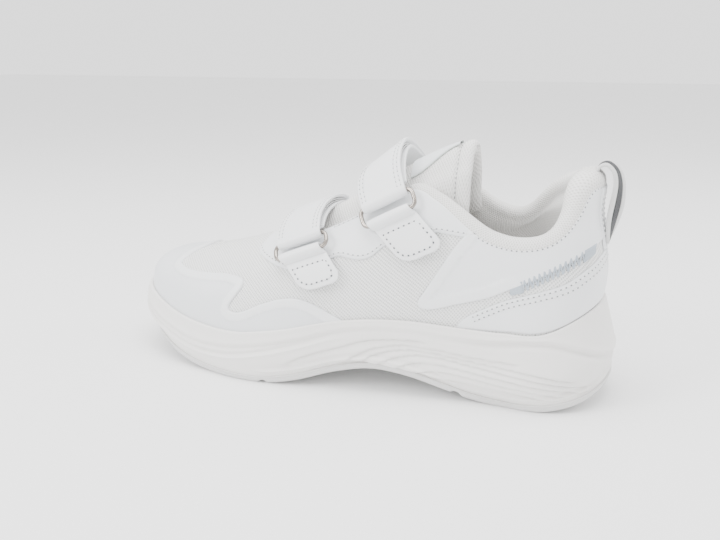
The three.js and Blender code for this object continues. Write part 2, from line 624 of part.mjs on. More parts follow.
// Extrudes an outline along the bars. bend changes each point's (across, up, along) place.
function extrudeInPlane(plane, outline, width, bend, hole = null) {
  const shape = new THREE.Shape(outline);
  if (hole) shape.holes.push(new THREE.Path(hole));
  const geometry = new THREE.ExtrudeGeometry(shape, { depth: width, bevelEnabled: false });
  geometry.translate(0, 0, -width / 2);
  const position = geometry.attributes.position;
  for (let i = 0; i < position.count; i += 1) {
    const point = new THREE.Vector3().fromBufferAttribute(position, i);
    bend(point);
    position.setXYZ(i, point.x, point.y, point.z);
  }
  geometry.applyMatrix4(new THREE.Matrix4().makeBasis(plane.across, plane.up, plane.along)
    .setPosition(plane.origin));
  return solidFrom(geometry);
}

function bandOutline(plane, from, to, low, high, steps = BAND_STEPS) {
  const top = offsetLine(plane, from, to, high, steps);
  return [...top, ...offsetLine(plane, from, to, low, steps).reverse()];
}

class RingPath extends THREE.CurvePath {
  constructor(halfWide, halfTall, corner, toWorld) {
    super();
    const corners = [[1, 1], [-1, 1], [-1, -1], [1, -1]];
    const world = (u, v) => toWorld(u, v);
    corners.forEach(([su, sv], i) => {
      const [nu, nv] = corners[(i + 1) % 4];
      const flat = sv === nv;
      const onBar = (u, v) => [u * (halfWide - corner), v * halfTall];
      const onSide = (u, v) => [u * halfWide, v * (halfTall - corner)];
      const start = flat ? onBar(su, sv) : onSide(su, sv);
      const end = flat ? onBar(nu, nv) : onSide(nu, nv);
      const next = flat ? onSide(nu, nv) : onBar(nu, nv);
      this.add(new THREE.LineCurve3(world(...start), world(...end)));
      this.add(new THREE.QuadraticBezierCurve3(world(...end), world(nu * halfWide, nv * halfTall),
        world(...next)));
    });
  }
}

for (const [place, strap] of Object.entries(STRAPS)) {
  const plane = strapPlane(strap);
  const barSpacing = FOLD_OUTER + LOOP_OUTER + strap.barGap;
  const barShare = plane.lengthAt(strap.barAngle);
  const lowerBar = offsetPoint(plane, barShare, BAR_HEIGHT);
  let upperShare = barShare;
  while (offsetPoint(plane, upperShare, BAR_HEIGHT).distanceTo(lowerBar) < barSpacing) {
    upperShare += 0.0005;
  }
  const upperBar = offsetPoint(plane, upperShare, BAR_HEIGHT);
  const heading = (share) => plane.spline.getTangentAt(share).angle();
  const mm = 1 / plane.length;
  const world = (p) => plane.origin.clone().addScaledVector(plane.across, p.x)
    .addScaledVector(plane.up, p.y);
  const lean = (point) => {
    point.z += TAB_LEAN * (lowerBar.y - point.y);
  };
  const wrap = (point) => {
    const share = smoothStep(upperBar.x, plane.crest, point.x);
    const turned = share - smoothStep(plane.crest, plane.root, point.x);
    point.y += strap.twist * turned * (point.z / STRAP_WIDTH - 0.5);
    point.z += strap.drift * share;
  };

  const lowerAngle = heading(barShare);
  const footShare = plane.lengthAt(TAB_FOOT_ANGLE);
  const tabTop = TAB_LIFT + TAB_THICKNESS;
  const tabOutline = [
    ...offsetLine(plane, footShare, barShare, TAB_LIFT, 8),
    ...arcPoints(lowerBar, LOOP_OUTER, lowerAngle - 0.9, lowerAngle + 3.5, 14),
    ...offsetLine(plane, footShare, barShare - LOOP_OUTER * mm, tabTop, 8).reverse(),
  ];
  const eye = arcPoints(lowerBar, FOLD_INNER, 0, 2 * Math.PI * (11 / 12), 11);
  addPiece(`anchor_tab_${place}`, extrudeInPlane(plane, tabOutline, TAB_WIDTH, lean, eye), FINISH.leather);

  const middle = world(lowerBar).add(world(upperBar)).multiplyScalar(0.5);
  const toUpper = world(upperBar).sub(world(lowerBar)).normalize();
  const wirePath = new RingPath(RING_INNER_WIDTH / 2 + WIRE_RADIUS, barSpacing / 2, 2.6,
    (u, v) => middle.clone().addScaledVector(plane.along, u).addScaledVector(toUpper, v));
  const wire = new THREE.TubeGeometry(wirePath, 44, WIRE_RADIUS, 8, true);
  addPiece(`ring_${place}`, solidFrom(wire), FINISH.nickel);

  const upperAngle = heading(upperShare);
  const flapEnd = plane.lengthAt(FLAP_END_ANGLE);
  const baseStart = upperShare + (FOLD_OUTER + 1.4) * mm;
  const tapeStart = upperShare + (FOLD_OUTER + 3) * mm;
  const baseEnd = plane.lengthAt(BASE_END_ANGLE);
  const quarterTurn = Math.PI / 2;
  const flapOutline = [
    ...arcPoints(upperBar, FOLD_INNER, upperAngle + quarterTurn, upperAngle + 3 * quarterTurn, 10),
    ...arcPoints(upperBar, FOLD_OUTER, upperAngle + 3 * quarterTurn, upperAngle + quarterTurn, 10),
    ...offsetLine(plane, upperShare, flapEnd, FLAP_BOTTOM + STRAP_THICKNESS, BAND_STEPS).slice(1),
    ...offsetLine(plane, upperShare, flapEnd, FLAP_BOTTOM, BAND_STEPS).slice(1).reverse(),
  ];
  addPiece(`strap_flap_${place}`, extrudeInPlane(plane, flapOutline, STRAP_WIDTH, wrap), FINISH.leather);
  const layers = [
    ['hook_tape', tapeStart, flapEnd - 3 * mm, HOOK_TOP - TAPE_THICKNESS, HOOK_TOP, 4],
    ['loop_tape', tapeStart, flapEnd + 4 * mm, BASE_TOP + GAP, LOOP_TOP, 4],
    ['strap_base', baseStart, baseEnd, BASE_TOP - STRAP_THICKNESS, BASE_TOP, 0],
    ['root_patch', plane.lengthAt(PATCH_START_ANGLE), baseEnd, BASE_TOP + GAP, LOOP_TOP, 1],
  ];
  for (const [name, from, to, low, high, narrower] of layers) {
    const outline = bandOutline(plane, from, to, low, high);
    const finish = name.endsWith('tape') ? FINISH.tape : FINISH.leather;
    addPiece(`${name}_${place}`, extrudeInPlane(plane, outline, STRAP_WIDTH - narrower, wrap), finish);
  }
  // The ring turns about its lower bar and the strap about its upper bar.
  shoe.userData[`hinges_${place}`] = { lower: world(lowerBar), upper: world(upperBar), axis: plane.along };
}

// ---------------------------------------------------------------- pull tab
const PULL_TAB_PATH = [[119.6, 113.2], [121.4, 116.6], [125.4, 117.6], [130, 113.6], [131.8, 106.5],
  [131, 98], [129.3, 89], [127.4, 80]];

function pullTab() {
  const points = PULL_TAB_PATH.map(designPoint);
  const spline = new THREE.SplineCurve(points);
  const steps = 28;
  const edge = (height) => Array.from({ length: steps + 1 }, (_, i) => {
    const tangent = spline.getTangentAt(i / steps);
    return spline.getPointAt(i / steps).add(new THREE.Vector2(-tangent.y, tangent.x)
      .multiplyScalar(height));
  });
  const half = PULL_TAB_THICKNESS / 2;
  const shape = new THREE.Shape([...edge(half), ...edge(-half).reverse()]);
  const geometry = new THREE.ExtrudeGeometry(shape, { depth: PULL_TAB_WIDTH, bevelEnabled: false });
  geometry.rotateX(Math.PI / 2);
  geometry.translate(0, PULL_TAB_WIDTH / 2, 0);
  return solidFrom(geometry);
}

addPiece('pull_tab', pullTab(), FINISH.webbing);

// ---------------------------------------------------------------- origin under the middle
const bounds = new THREE.Box3().setFromObject(shoe);
const centre = bounds.getCenter(new THREE.Vector3());
shoe.position.set(-centre.x, -centre.y, -bounds.min.z);

export default shoe;
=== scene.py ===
# %% [markdown]
# A left cheer shoe, dressed over its engineering model. The engineering model holds every size and
# every hinge; this script gives each piece its cloth, leather, foam and metal. Lengths are written
# in millimetres, as a shoemaker would, and turned into metres at the last moment.

# %% Load the frame
import json
import math

import bmesh
import bpy
import numpy as np
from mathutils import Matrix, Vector
from mathutils.geometry import delaunay_2d_cdt


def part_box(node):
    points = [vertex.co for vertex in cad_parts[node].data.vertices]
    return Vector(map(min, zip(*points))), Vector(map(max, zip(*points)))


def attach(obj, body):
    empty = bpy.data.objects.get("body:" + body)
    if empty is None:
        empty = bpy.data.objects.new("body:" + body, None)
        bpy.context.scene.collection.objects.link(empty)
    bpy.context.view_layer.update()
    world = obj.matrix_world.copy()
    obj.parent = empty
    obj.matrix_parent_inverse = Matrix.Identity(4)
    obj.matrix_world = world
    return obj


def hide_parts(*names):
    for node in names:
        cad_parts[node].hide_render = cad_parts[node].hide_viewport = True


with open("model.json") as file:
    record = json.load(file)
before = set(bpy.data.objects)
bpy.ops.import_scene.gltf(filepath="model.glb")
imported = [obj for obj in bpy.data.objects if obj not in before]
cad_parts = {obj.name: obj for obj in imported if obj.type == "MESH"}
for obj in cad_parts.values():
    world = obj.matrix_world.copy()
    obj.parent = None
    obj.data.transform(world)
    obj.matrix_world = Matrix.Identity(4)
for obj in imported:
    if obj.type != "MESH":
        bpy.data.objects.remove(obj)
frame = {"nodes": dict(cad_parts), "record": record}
bpy.context.view_layer.update()
MM = 0.001

# %% [markdown]
# The upper is pulled over a last, the foot-shaped form that shoes are made on. Nearly every piece
# lies on that form, so it comes first. It could be a sculpted mesh, but a few smooth curves along
# its length give exact offsets for every layer, so the form here is a function: a station along the
# foot and an angle round it give a point.

# %% Curves along the last
TOE, HEEL = -133.0, 122.0
LENGTH = HEEL - TOE


def smooth_curve(knots):
    """A curve through knots of (place, value) with no overshoot at its ends."""
    x, y = np.array(knots, float).T
    slope = np.diff(y) / np.diff(x)
    m = np.zeros(len(x))
    m[1:-1] = (slope[:-1] * np.diff(x)[1:] + slope[1:] * np.diff(x)[:-1]) / (x[2:] - x[:-2])
    m[0], m[-1] = slope[0], slope[-1]

    def value(at):
        at = np.clip(np.asarray(at, float), x[0], x[-1])
        i = np.clip(np.searchsorted(x, at, side="right") - 1, 0, len(x) - 2)
        h = x[i + 1] - x[i]
        s = (at - x[i]) / h
        level = (2 * s**3 - 3 * s**2 + 1) * y[i] + (3 * s**2 - 2 * s**3) * y[i + 1]
        return level + (s**3 - 2 * s**2 + s) * h * m[i] + (s**3 - s**2) * h * m[i + 1]

    return value


half_width = smooth_curve([(-133, 36), (-105, 39), (-78, 43), (-50, 45.5), (-25, 44), (0, 39), (25, 34.5),
                           (50, 33), (75, 33), (100, 33), (122, 32)])
centre_line = smooth_curve([(-133, 6), (-105, 4), (-78, 1.5), (-50, -1), (-25, -2.5), (0, -3.5), (25, -4),
                            (50, -2.5), (75, -1), (100, 0), (122, 0)])
feather_height = smooth_curve([(-133, 36), (-120, 33), (-105, 29), (-88, 25.5), (-60, 23.5), (-30, 28),
                               (0, 35), (15, 37), (35, 38), (60, 37), (85, 36.5), (105, 38), (122, 49.5)])
ridge_height = smooth_curve([(-133, 53), (-115, 55), (-95, 58.5), (-72, 64.5), (-50, 72), (-30, 81),
                             (-10, 90), (10, 100), (30, 111), (45, 118), (60, 121), (80, 121), (122, 118)])
tongue_ridge = smooth_curve([(-60, 68.5), (-30, 79.5), (-10, 88.8), (10, 101), (30, 113), (45, 120.5),
                             (62, 127)])
squareness = smooth_curve([(-127, .75), (-100, .75), (-60, .88), (-20, 1), (20, .95), (50, .75), (80, .55),
                           (122, .5)])
inward_lean = smooth_curve([(-20, 0), (30, .12), (60, .2), (90, .2), (122, .1)])
heel_bulge = smooth_curve([(20, 0), (36, 0), (50, 4), (64, 5.5), (80, 3.5), (95, .5), (108, 1.5), (120, 3)])

SHIFT = np.array([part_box("mesh_upper")[0][0] / MM - TOE,
                  sum(c[1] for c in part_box("pull_tab")) / 2 / MM, 0.0])
print("The last's own zero lies at", SHIFT.round(2), "mm")


def smoothstep(low, high, x):
    t = np.clip((np.asarray(x, float) - low) / (high - low), 0, 1)
    return t * t * (3 - 2 * t)


def plan_rounding(x, inset):
    toeward = np.clip((TOE + inset + 52 - x) / 52, 0, 1)
    heelward = np.clip((x - HEEL + inset + 33) / 33, 0, 1)
    return (1 - toeward**2.3) ** (1 / 2.3) * (1 - heelward**2.4) ** (1 / 2.4)


def form_point(x, angle, inset=0.0, ridge=ridge_height):
    """A point of the last in mm: angle 0 is the outer bottom edge, pi/2 the top, pi the inner edge."""
    x, angle, inset = np.broadcast_arrays(np.asarray(x, float), np.asarray(angle, float), inset)
    width = np.maximum((half_width(x) - inset) * plan_rounding(x, inset), 0)
    toe_drop = np.clip((TOE + inset + 18 - x) / 18, 0, 1)
    rise = (ridge(x) - inset - feather_height(x)) * (1 - toe_drop**2.4) ** (1 / 2.4)
    cosine = np.sign(np.cos(angle)) * np.abs(np.cos(angle)) ** squareness(x)
    sine = np.clip(np.sin(angle), 0, 1) ** squareness(x)
    y = centre_line(x) - width * (1 - inward_lean(x) * sine**2) * cosine
    z = feather_height(x) + rise * sine
    back = heel_bulge(z) * smoothstep(50, 110, x)
    return np.stack([x + back, y, z], -1)


def form_normal(x, angle):
    """The outward direction of the last's surface."""
    x = np.clip(x, TOE + 0.6, HEEL - 0.6)
    angle = np.clip(angle, 0.02, math.pi - 0.02)
    along = form_point(x + 0.5, angle) - form_point(x - 0.5, angle)
    around = form_point(x, angle + 0.02) - form_point(x, angle - 0.02)
    normal = np.cross(along, around)
    return normal / np.maximum(np.linalg.norm(normal, axis=-1, keepdims=True), 1e-9)


BALL_STATION, ANKLE_STATION = -50, 60
print("Last at the ball:", form_point(BALL_STATION, math.pi / 2).round(1))
print("Last at the ankle:", form_point(ANKLE_STATION, math.pi / 2).round(1))

# %% [markdown]
# A pattern cutter draws panels flat. The last's skin is unrolled here by measuring, at each station,
# the distance round it from the top line: minus on the outer side and plus on the inner side. Panel
# outlines are drawn in side view, as they look on the shoe, and carried into that flat pattern.

# %% The flat pattern
def stations_along(count, inset=0):
    """Stations from toe to heel, closer together at the two ends."""
    return TOE + inset + (LENGTH - 2 * inset) * (1 - np.cos(np.linspace(0, math.pi, count))) / 2


TABLE_X = stations_along(361)
TABLE_ANGLE = np.linspace(0, math.pi, 241)
TABLE_WIDTH = half_width(TABLE_X) * plan_rounding(TABLE_X, 0)
TABLE_RUN = np.concatenate([[0], np.cumsum(np.hypot(np.diff(TABLE_X), np.diff(TABLE_WIDTH)))])
TABLE_RUN -= np.interp(0, TABLE_X, TABLE_RUN)
skin = form_point(TABLE_X[:, None], TABLE_ANGLE[None, :])
steps = np.linalg.norm(np.diff(skin, axis=1), axis=-1)
TABLE_GIRTH = np.concatenate([np.zeros((len(TABLE_X), 1)), np.cumsum(steps, 1)], 1)
TABLE_GIRTH -= TABLE_GIRTH[:, [120]]


def table_rows(x):
    """The table's row before each station, and the share of the way to the next row."""
    row = np.interp(x, TABLE_X, np.arange(len(TABLE_X)))
    low = np.clip(row.astype(int), 0, len(TABLE_X) - 2)
    return low, row - low


def girth_at(x, angle):
    """Distance round the last from its top line."""
    low, share = table_rows(x)
    result = np.empty(len(x))
    for i, (a, b, s) in enumerate(zip(low, angle, share)):
        result[i] = np.interp(b, TABLE_ANGLE, TABLE_GIRTH[a] * (1 - s) + TABLE_GIRTH[a + 1] * s)
    return result


def angle_at(x, girth):
    """The angle that lies a given distance round the last."""
    low, share = table_rows(x)
    result = np.empty(len(x))
    for i, (a, g, s) in enumerate(zip(low, girth, share)):
        result[i] = np.interp(g, TABLE_GIRTH[a] * (1 - s) + TABLE_GIRTH[a + 1] * s + 1e-9 * TABLE_ANGLE,
                              TABLE_ANGLE)
    return result


def locate(side_points, medial=False):
    """Carry side-view points (x, z) onto the last as (station, angle)."""
    x, z = np.array(side_points, float).T
    station = x.copy()
    for _ in range(12):
        low, high = np.zeros(len(x)), np.full(len(x), math.pi / 2)
        for _ in range(24):
            middle = (low + high) / 2
            below = form_point(station, middle)[:, 2] < z
            low, high = np.where(below, middle, low), np.where(below, high, middle)
        station = np.clip(x - heel_bulge(z) * smoothstep(50, 110, station), TOE, HEEL)
    return station, (math.pi - low if medial else low)


def run_at(station):
    """Distance along the shoe's edge, which counts the way round the toe and the heel too."""
    return np.interp(station, TABLE_X, TABLE_RUN)


def station_at(run):
    return np.interp(run, TABLE_RUN, TABLE_X)


def flat_pattern(side_points, medial=False):
    station, angle = locate(side_points, medial)
    return np.stack([run_at(station), girth_at(station, angle)], -1)


def smooth_line(points, step=1.2, closed=False):
    """A smooth line through a few points, with even steps."""
    p = np.array(points, float)
    p = np.vstack([p[-1:], p, p[:2]]) if closed else np.vstack([2 * p[0] - p[1], p, 2 * p[-1] - p[-2]])
    pieces = []
    for a, b, c, d in zip(p[:-3], p[1:-2], p[2:-1], p[3:]):
        t = np.linspace(0, 1, 12, endpoint=False)[:, None]
        pieces.append(0.5 * (2 * b + (c - a) * t + (2 * a - 5 * b + 4 * c - d) * t**2
                             + (3 * b - a - 3 * c + d) * t**3))
    line = np.vstack(pieces + [p[-2:-1]])
    return even_steps(line, step)


def travelled_along(line):
    """Distance along a line at each of its points."""
    return np.concatenate([[0], np.cumsum(np.linalg.norm(np.diff(line, axis=0), axis=1))])


def unit(vectors):
    """The same directions, each one mm long."""
    return vectors / np.linalg.norm(vectors, axis=-1, keepdims=True)


def even_steps(line, step):
    length = travelled_along(line)
    count = max(int(round(length[-1] / step)), 2)
    at = np.linspace(0, length[-1], count + 1)
    return np.stack([np.interp(at, length, column) for column in line.T], -1)


print("Girth at the ball:", (TABLE_GIRTH[150, -1] - TABLE_GIRTH[150, 0]).round(1), "mm")

# %% [markdown]
# Three ways of making a mesh cover the whole shoe. A grid suits a piece with two natural directions,
# such as the sole wall. A panel suits a cut-out of any outline: its inside is filled with points and
# joined by a Delaunay triangulation, and its rim is rolled down like a skived leather edge. A sweep
# suits straps, piping and webbing, where one section travels along a path.

# %% Mesh helpers
made = []


def new_piece(name, points, faces, materials, body="shoe_body", uv=None, face_material=None):
    """Turn points in mm into an object that rides on a body."""
    mesh = bpy.data.meshes.new(name)
    mesh.from_pydata([tuple(p) for p in (np.asarray(points) + SHIFT) * MM], [], [tuple(f) for f in faces])
    for material in materials:
        mesh.materials.append(material)
    if face_material is not None:
        mesh.polygons.foreach_set("material_index", list(face_material))
    mesh.polygons.foreach_set("use_smooth", [True] * len(mesh.polygons))
    if uv is not None:
        layer = mesh.uv_layers.new(name="cloth")
        loop_vertices = np.empty(len(mesh.loops), int)
        mesh.loops.foreach_get("vertex_index", loop_vertices)
        layer.data.foreach_set("uv", (np.asarray(uv)[loop_vertices] * 0.01).ravel())
    mesh.update()
    piece = bpy.data.objects.new(name, mesh)
    bpy.context.collection.objects.link(piece)
    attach(piece, body)
    made.append(name)
    return piece


def grid_faces(rows, columns, wrap=False):
    faces = []
    for i in range(rows - 1):
        for j in range(columns if wrap else columns - 1):
            k = (j + 1) % columns
            faces.append((i * columns + j, i * columns + k, (i + 1) * columns + k, (i + 1) * columns + j))
    return faces


def flipped(faces):
    return [tuple(reversed(face)) for face in faces]


def distance_to_line(points, line, closed=True):
    a = line if closed else line[:-1]
    b = np.roll(line, -1, 0) if closed else line[1:]
    best = np.full(len(points), 1e9)
    for start, end in zip(a, b):
        d = end - start
        t = np.clip(((points - start) @ d) / max(d @ d, 1e-12), 0, 1)
        best = np.minimum(best, np.linalg.norm(points - start - t[:, None] * d, axis=1))
    return best


def is_inside(points, outline):
    inside = np.zeros(len(points), bool)
    for a, b in zip(outline, np.roll(outline, -1, 0)):
        crosses = (a[1] > points[:, 1]) != (b[1] > points[:, 1])
        at = (b[0] - a[0]) * (points[:, 1] - a[1]) / (b[1] - a[1] + 1e-12) + a[0]
        inside ^= crosses & (points[:, 0] < at)
    return inside


def signed_area(outline):
    """Twice an outline's area, positive when it runs anticlockwise."""
    ahead = np.roll(outline, -1, 0)
    return np.sum(outline[:, 0] * ahead[:, 1] - ahead[:, 0] * outline[:, 1])


def inward_line(outline, distance):
    """The outline moved towards its inside."""
    area = signed_area(outline)
    tangent = np.roll(outline, -1, 0) - np.roll(outline, 1, 0)
    tangent /= np.maximum(np.linalg.norm(tangent, axis=1, keepdims=True), 1e-9)
    inward = np.stack([-tangent[:, 1], tangent[:, 0]], -1) * np.sign(area)
    return outline + inward * distance


def on_last(flat, height):
    """Raise flat-pattern points off the last by a height in mm."""
    station = station_at(flat[:, 0])
    angle = angle_at(station, flat[:, 1])
    point = form_point(station, angle)
    return point + form_normal(station, angle) * np.asarray(height)[..., None]


def dot_grid(outline, across, up, shift):
    """Rows of points over an outline's box, with every second row shifted."""
    (x0, y0), (x1, y1) = outline.min(0), outline.max(0)
    gx, gy = np.meshgrid(np.arange(x0, x1, across), np.arange(y0, y1, up))
    gx[1::2] += shift
    return np.stack([gx.ravel(), gy.ravel()], -1)


# Distances of a panel's rim rings from its outline, the extra points where its border steps up (across,
# up and shift), and the border's height, in mm.
RIM_STEPS = (0.35, 0.8, 1.4)
FINE_DOTS = (0.55, 0.48, 0.27)
BORDER_RISE = 0.38


def panel(name, outline, material, low, high, rim, spacing, steps=RIM_STEPS, border=None,
          border_material=None):
    """A cut panel lying on the last, with a rolled rim; border(flat) is 1 on its raised border band."""
    outline = np.asarray(outline)
    rings = [outline]
    for distance in steps:
        ring = inward_line(outline, distance)
        keep = is_inside(ring, outline) & (distance_to_line(ring, outline) > distance * 0.8)
        rings.append(ring[keep])
    grid = dot_grid(outline, spacing, spacing * 0.87, spacing / 2)
    grid = grid[is_inside(grid, outline)]
    grid = grid[distance_to_line(grid, outline) > steps[-1] + spacing * 0.45]
    if border is not None:
        fine = dot_grid(outline, *FINE_DOTS)
        share = border(fine)
        fine = fine[(share > 0.005) & (share < 0.995)]
        fine = fine[is_inside(fine, outline)]
        grid = np.vstack([grid, fine[distance_to_line(fine, outline) > steps[-1] + 0.3]])
    flat = np.vstack(rings + [grid])
    count = len(outline)
    edges = [(i, (i + 1) % count) for i in range(count)]
    flat_out, _, faces, *_ = delaunay_2d_cdt([Vector(p) for p in flat], edges, [list(range(count))], 1, 1e-4)
    flat = np.array([tuple(p) for p in flat_out])
    edge = distance_to_line(flat, outline)
    roll = np.sqrt(np.clip(1 - (1 - np.clip(edge / rim, 0, 1)) ** 2, 0, 1))
    height = low + (high - low) * roll
    if border is not None:
        share = border(flat)
        height = height + BORDER_RISE * share * roll
    points = on_last(flat, height)
    skirt = on_last(outline, np.full(count, low - 0.9))
    points = np.vstack([points, skirt])
    uv = np.vstack([flat, outline])
    faces = [tuple(f) for f in faces]
    area = signed_area(outline)
    base = len(flat)
    walls = [(i, base + i, base + (i + 1) % count, (i + 1) % count) for i in range(count)]
    if area > 0:
        walls = flipped(walls)
    first = points[list(faces[0])]
    outward = on_last(flat[list(faces[0])], np.full(3, 5.0)).mean(0) - first.mean(0)
    if np.dot(np.cross(first[1] - first[0], first[2] - first[0]), outward) < 0:
        faces, walls = flipped(faces), flipped(walls) if area > 0 else walls
    if border is None:
        return new_piece(name, points, faces + walls, [material], uv=uv)
    marks = [int(np.mean(share[list(face)]) > 0.5) for face in faces] + [1] * len(walls)
    return new_piece(name, points, faces + walls, [material, border_material], uv=uv,
                     face_material=marks)


def sweep(name, path, widths, ups, section, materials, body="shoe_body", closed=False, scale=None):
    """Carry a closed section (side, up) along a path whose side and up directions are given."""
    path, widths, ups = (np.asarray(v, float) for v in (path, widths, ups))
    section = np.asarray(section, float)
    scale = np.ones((len(path), 2)) if scale is None else np.asarray(scale, float)
    rows = [p + (section[:, :1] * s[0]) * w + (section[:, 1:] * s[1]) * u
            for p, w, u, s in zip(path, widths, ups, scale)]
    count = len(section)
    faces = grid_faces(len(path), count, wrap=True)
    if closed:
        last = (len(path) - 1) * count
        faces += [(last + j, last + (j + 1) % count, (j + 1) % count, j) for j in range(count)]
    else:
        faces += [tuple(range(count))[::-1], tuple((len(path) - 1) * count + j for j in range(count))]
    travelled = travelled_along(path)
    around = travelled_along(section)
    uv = np.stack(np.broadcast_arrays(travelled[:, None], around[None, :]), -1).reshape(-1, 2)
    return new_piece(name, np.vstack(rows), faces, materials, body, uv=uv)


def rounded_section(width, thickness, crown=0.0, corner=0.45, count=7):
    """A strap's section: flat below, slightly crowned above, with round edges."""
    half, tall = width / 2, thickness / 2
    radius = min(corner * thickness, tall)
    points = []
    for cx, cy, start in ((half - radius, tall - radius, 0), (-half + radius, tall - radius, 90),
                          (-half + radius, -tall + radius, 180), (half - radius, -tall + radius, 270)):
        for k in range(count):
            a = math.radians(start + 90 * k / (count - 1))
            points.append((cx + radius * math.cos(a), cy + radius * math.sin(a)))
        if start == 0:
            inner = np.linspace(half - radius, -half + radius, 9)[1:-1]
            points += [(x, tall + crown * (1 - (x / half) ** 2)) for x in inner]
    return np.array(points)


print("Mesh helpers ready")

# %% [markdown]
# Shading effects that several materials share are node groups, like a dye recipe used on many
# cloths. Each puts out only a mask or a height, and the material decides what to do with it.

# %% Node group helpers
def new_group(name, inputs, outputs):
    group = bpy.data.node_groups.new(name, "ShaderNodeTree")
    for label, kind, default in inputs:
        socket = group.interface.new_socket(label, in_out="INPUT", socket_type=kind)
        if default is not None:
            socket.default_value = default
    for label, kind in outputs:
        group.interface.new_socket(label, in_out="OUTPUT", socket_type=kind)
    enter = group.nodes.new("NodeGroupInput")
    leave = group.nodes.new("NodeGroupOutput")
    return group, enter.outputs, leave.inputs


def math_node(tree, operation, a, b=None, clamp=False):
    node = tree.nodes.new("ShaderNodeMath")
    node.operation = operation
    node.use_clamp = clamp
    for socket, value in zip(node.inputs, (a, b)):
        if isinstance(value, bpy.types.NodeSocket):
            tree.links.new(value, socket)
        elif value is not None:
            socket.default_value = value
    return node.outputs[0]


def noise_node(tree, vector, scale, detail=3.0, roughness=0.55):
    node = tree.nodes.new("ShaderNodeTexNoise")
    node.inputs["Detail"].default_value = detail
    node.inputs["Roughness"].default_value = roughness
    if isinstance(scale, bpy.types.NodeSocket):
        tree.links.new(scale, node.inputs["Scale"])
    else:
        node.inputs["Scale"].default_value = scale
    tree.links.new(vector, node.inputs["Vector"])
    return node.outputs["Fac"]


print("Node helpers ready")

# %% [markdown]
# Knitted mesh: two families of slanting yarns that cross, with a small hole in each diamond. A
# woven picture would do it, but sine waves of the cloth's own coordinates stay sharp at any zoom.

# %% The lattice group
def lattice_group():
    group, enter, leave = new_group(
        "crossed_yarns",
        [("Cloth", "NodeSocketVector", None), ("Pitch mm", "NodeSocketFloat", 1.0),
         ("Slant", "NodeSocketFloat", 0.8)],
        [("Height", "NodeSocketFloat"), ("Hole", "NodeSocketFloat")])
    split = group.nodes.new("ShaderNodeSeparateXYZ")
    group.links.new(enter["Cloth"], split.inputs[0])
    per_mm = math_node(group, "DIVIDE", 100.0, enter["Pitch mm"])
    u = math_node(group, "MULTIPLY", split.outputs[0], per_mm)
    v = math_node(group, "MULTIPLY", split.outputs[1], per_mm)
    lean = math_node(group, "MULTIPLY", v, enter["Slant"])
    waves = []
    for operation in ("ADD", "SUBTRACT"):
        turn = math_node(group, "MULTIPLY", math_node(group, operation, u, lean), math.tau)
        wave = math_node(group, "SINE", turn)
        waves.append(math_node(group, "MULTIPLY_ADD", wave, 0.5))
        waves[-1].node.inputs[2].default_value = 0.5
    group.links.new(math_node(group, "MAXIMUM", *waves), leave["Height"])
    gaps = [math_node(group, "SUBTRACT", 1.0, wave) for wave in waves]
    group.links.new(math_node(group, "MULTIPLY", *gaps), leave["Hole"])
    return group


def grain_group():
    group, enter, leave = new_group(
        "leather_grain",
        [("Place", "NodeSocketVector", None), ("Cells per m", "NodeSocketFloat", 1400.0)],
        [("Height", "NodeSocketFloat"), ("Blotch", "NodeSocketFloat")])
    cells = group.nodes.new("ShaderNodeTexVoronoi")
    cells.feature = "DISTANCE_TO_EDGE"
    group.links.new(enter["Place"], cells.inputs["Vector"])
    group.links.new(enter["Cells per m"], cells.inputs["Scale"])
    fine = noise_node(group, enter["Place"], enter["Cells per m"], 2.0)
    pebble = math_node(group, "MINIMUM", cells.outputs["Distance"], 0.25)
    group.links.new(math_node(group, "MULTIPLY_ADD", fine, 0.35), leave["Height"])
    leave["Height"].links[0].from_node.inputs[2].default_value = 0.0
    group.links.new(pebble, leave["Height"].links[0].from_node.inputs[2])
    group.links.new(noise_node(group, enter["Place"], 38.0, 4.0), leave["Blotch"])
    return group


def handling_group():
    group, enter, leave = new_group(
        "edge_wear_and_dust",
        [("Place", "NodeSocketVector", None), ("Wear", "NodeSocketFloat", 0.5)],
        [("Edge", "NodeSocketFloat"), ("Dust", "NodeSocketFloat")])
    geometry = group.nodes.new("ShaderNodeNewGeometry")
    sharp = math_node(group, "SUBTRACT", geometry.outputs["Pointiness"], 0.53)
    patchy = noise_node(group, enter["Place"], 220.0, 5.0)
    edge = math_node(group, "MULTIPLY", math_node(group, "MULTIPLY", sharp, 9.0), patchy)
    group.links.new(math_node(group, "MULTIPLY", edge, enter["Wear"], clamp=True), leave["Edge"])
    cloud = noise_node(group, enter["Place"], 26.0, 6.0, 0.65)
    dust = math_node(group, "MULTIPLY", math_node(group, "SUBTRACT", cloud, 0.42), 2.2, clamp=True)
    group.links.new(dust, leave["Dust"])
    return group


LATTICE, GRAIN, HANDLING = lattice_group(), grain_group(), handling_group()
print("Node groups:", [g.name for g in bpy.data.node_groups])

# %% [markdown]
# A small recipe book. Every finish starts from a Principled shader whose steady values sit on its
# own sockets, then its colour, roughness and bump get what changes over the surface.

# %% Material helpers
def start_material(name, roughness=0.5, metallic=0.0, **steady):
    material = bpy.data.materials.new(name)
    material.use_nodes = True
    shader = material.node_tree.nodes["Principled BSDF"]
    shader.inputs["Roughness"].default_value = roughness
    shader.inputs["Metallic"].default_value = metallic
    for label, value in steady.items():
        shader.inputs[label.replace("_", " ")].default_value = value
    return material, material.node_tree, shader


def place_of(tree):
    return tree.nodes.new("ShaderNodeTexCoord").outputs["Object"]


def cloth_of(tree):
    node = tree.nodes.new("ShaderNodeUVMap")
    node.uv_map = "cloth"
    return node.outputs["UV"]


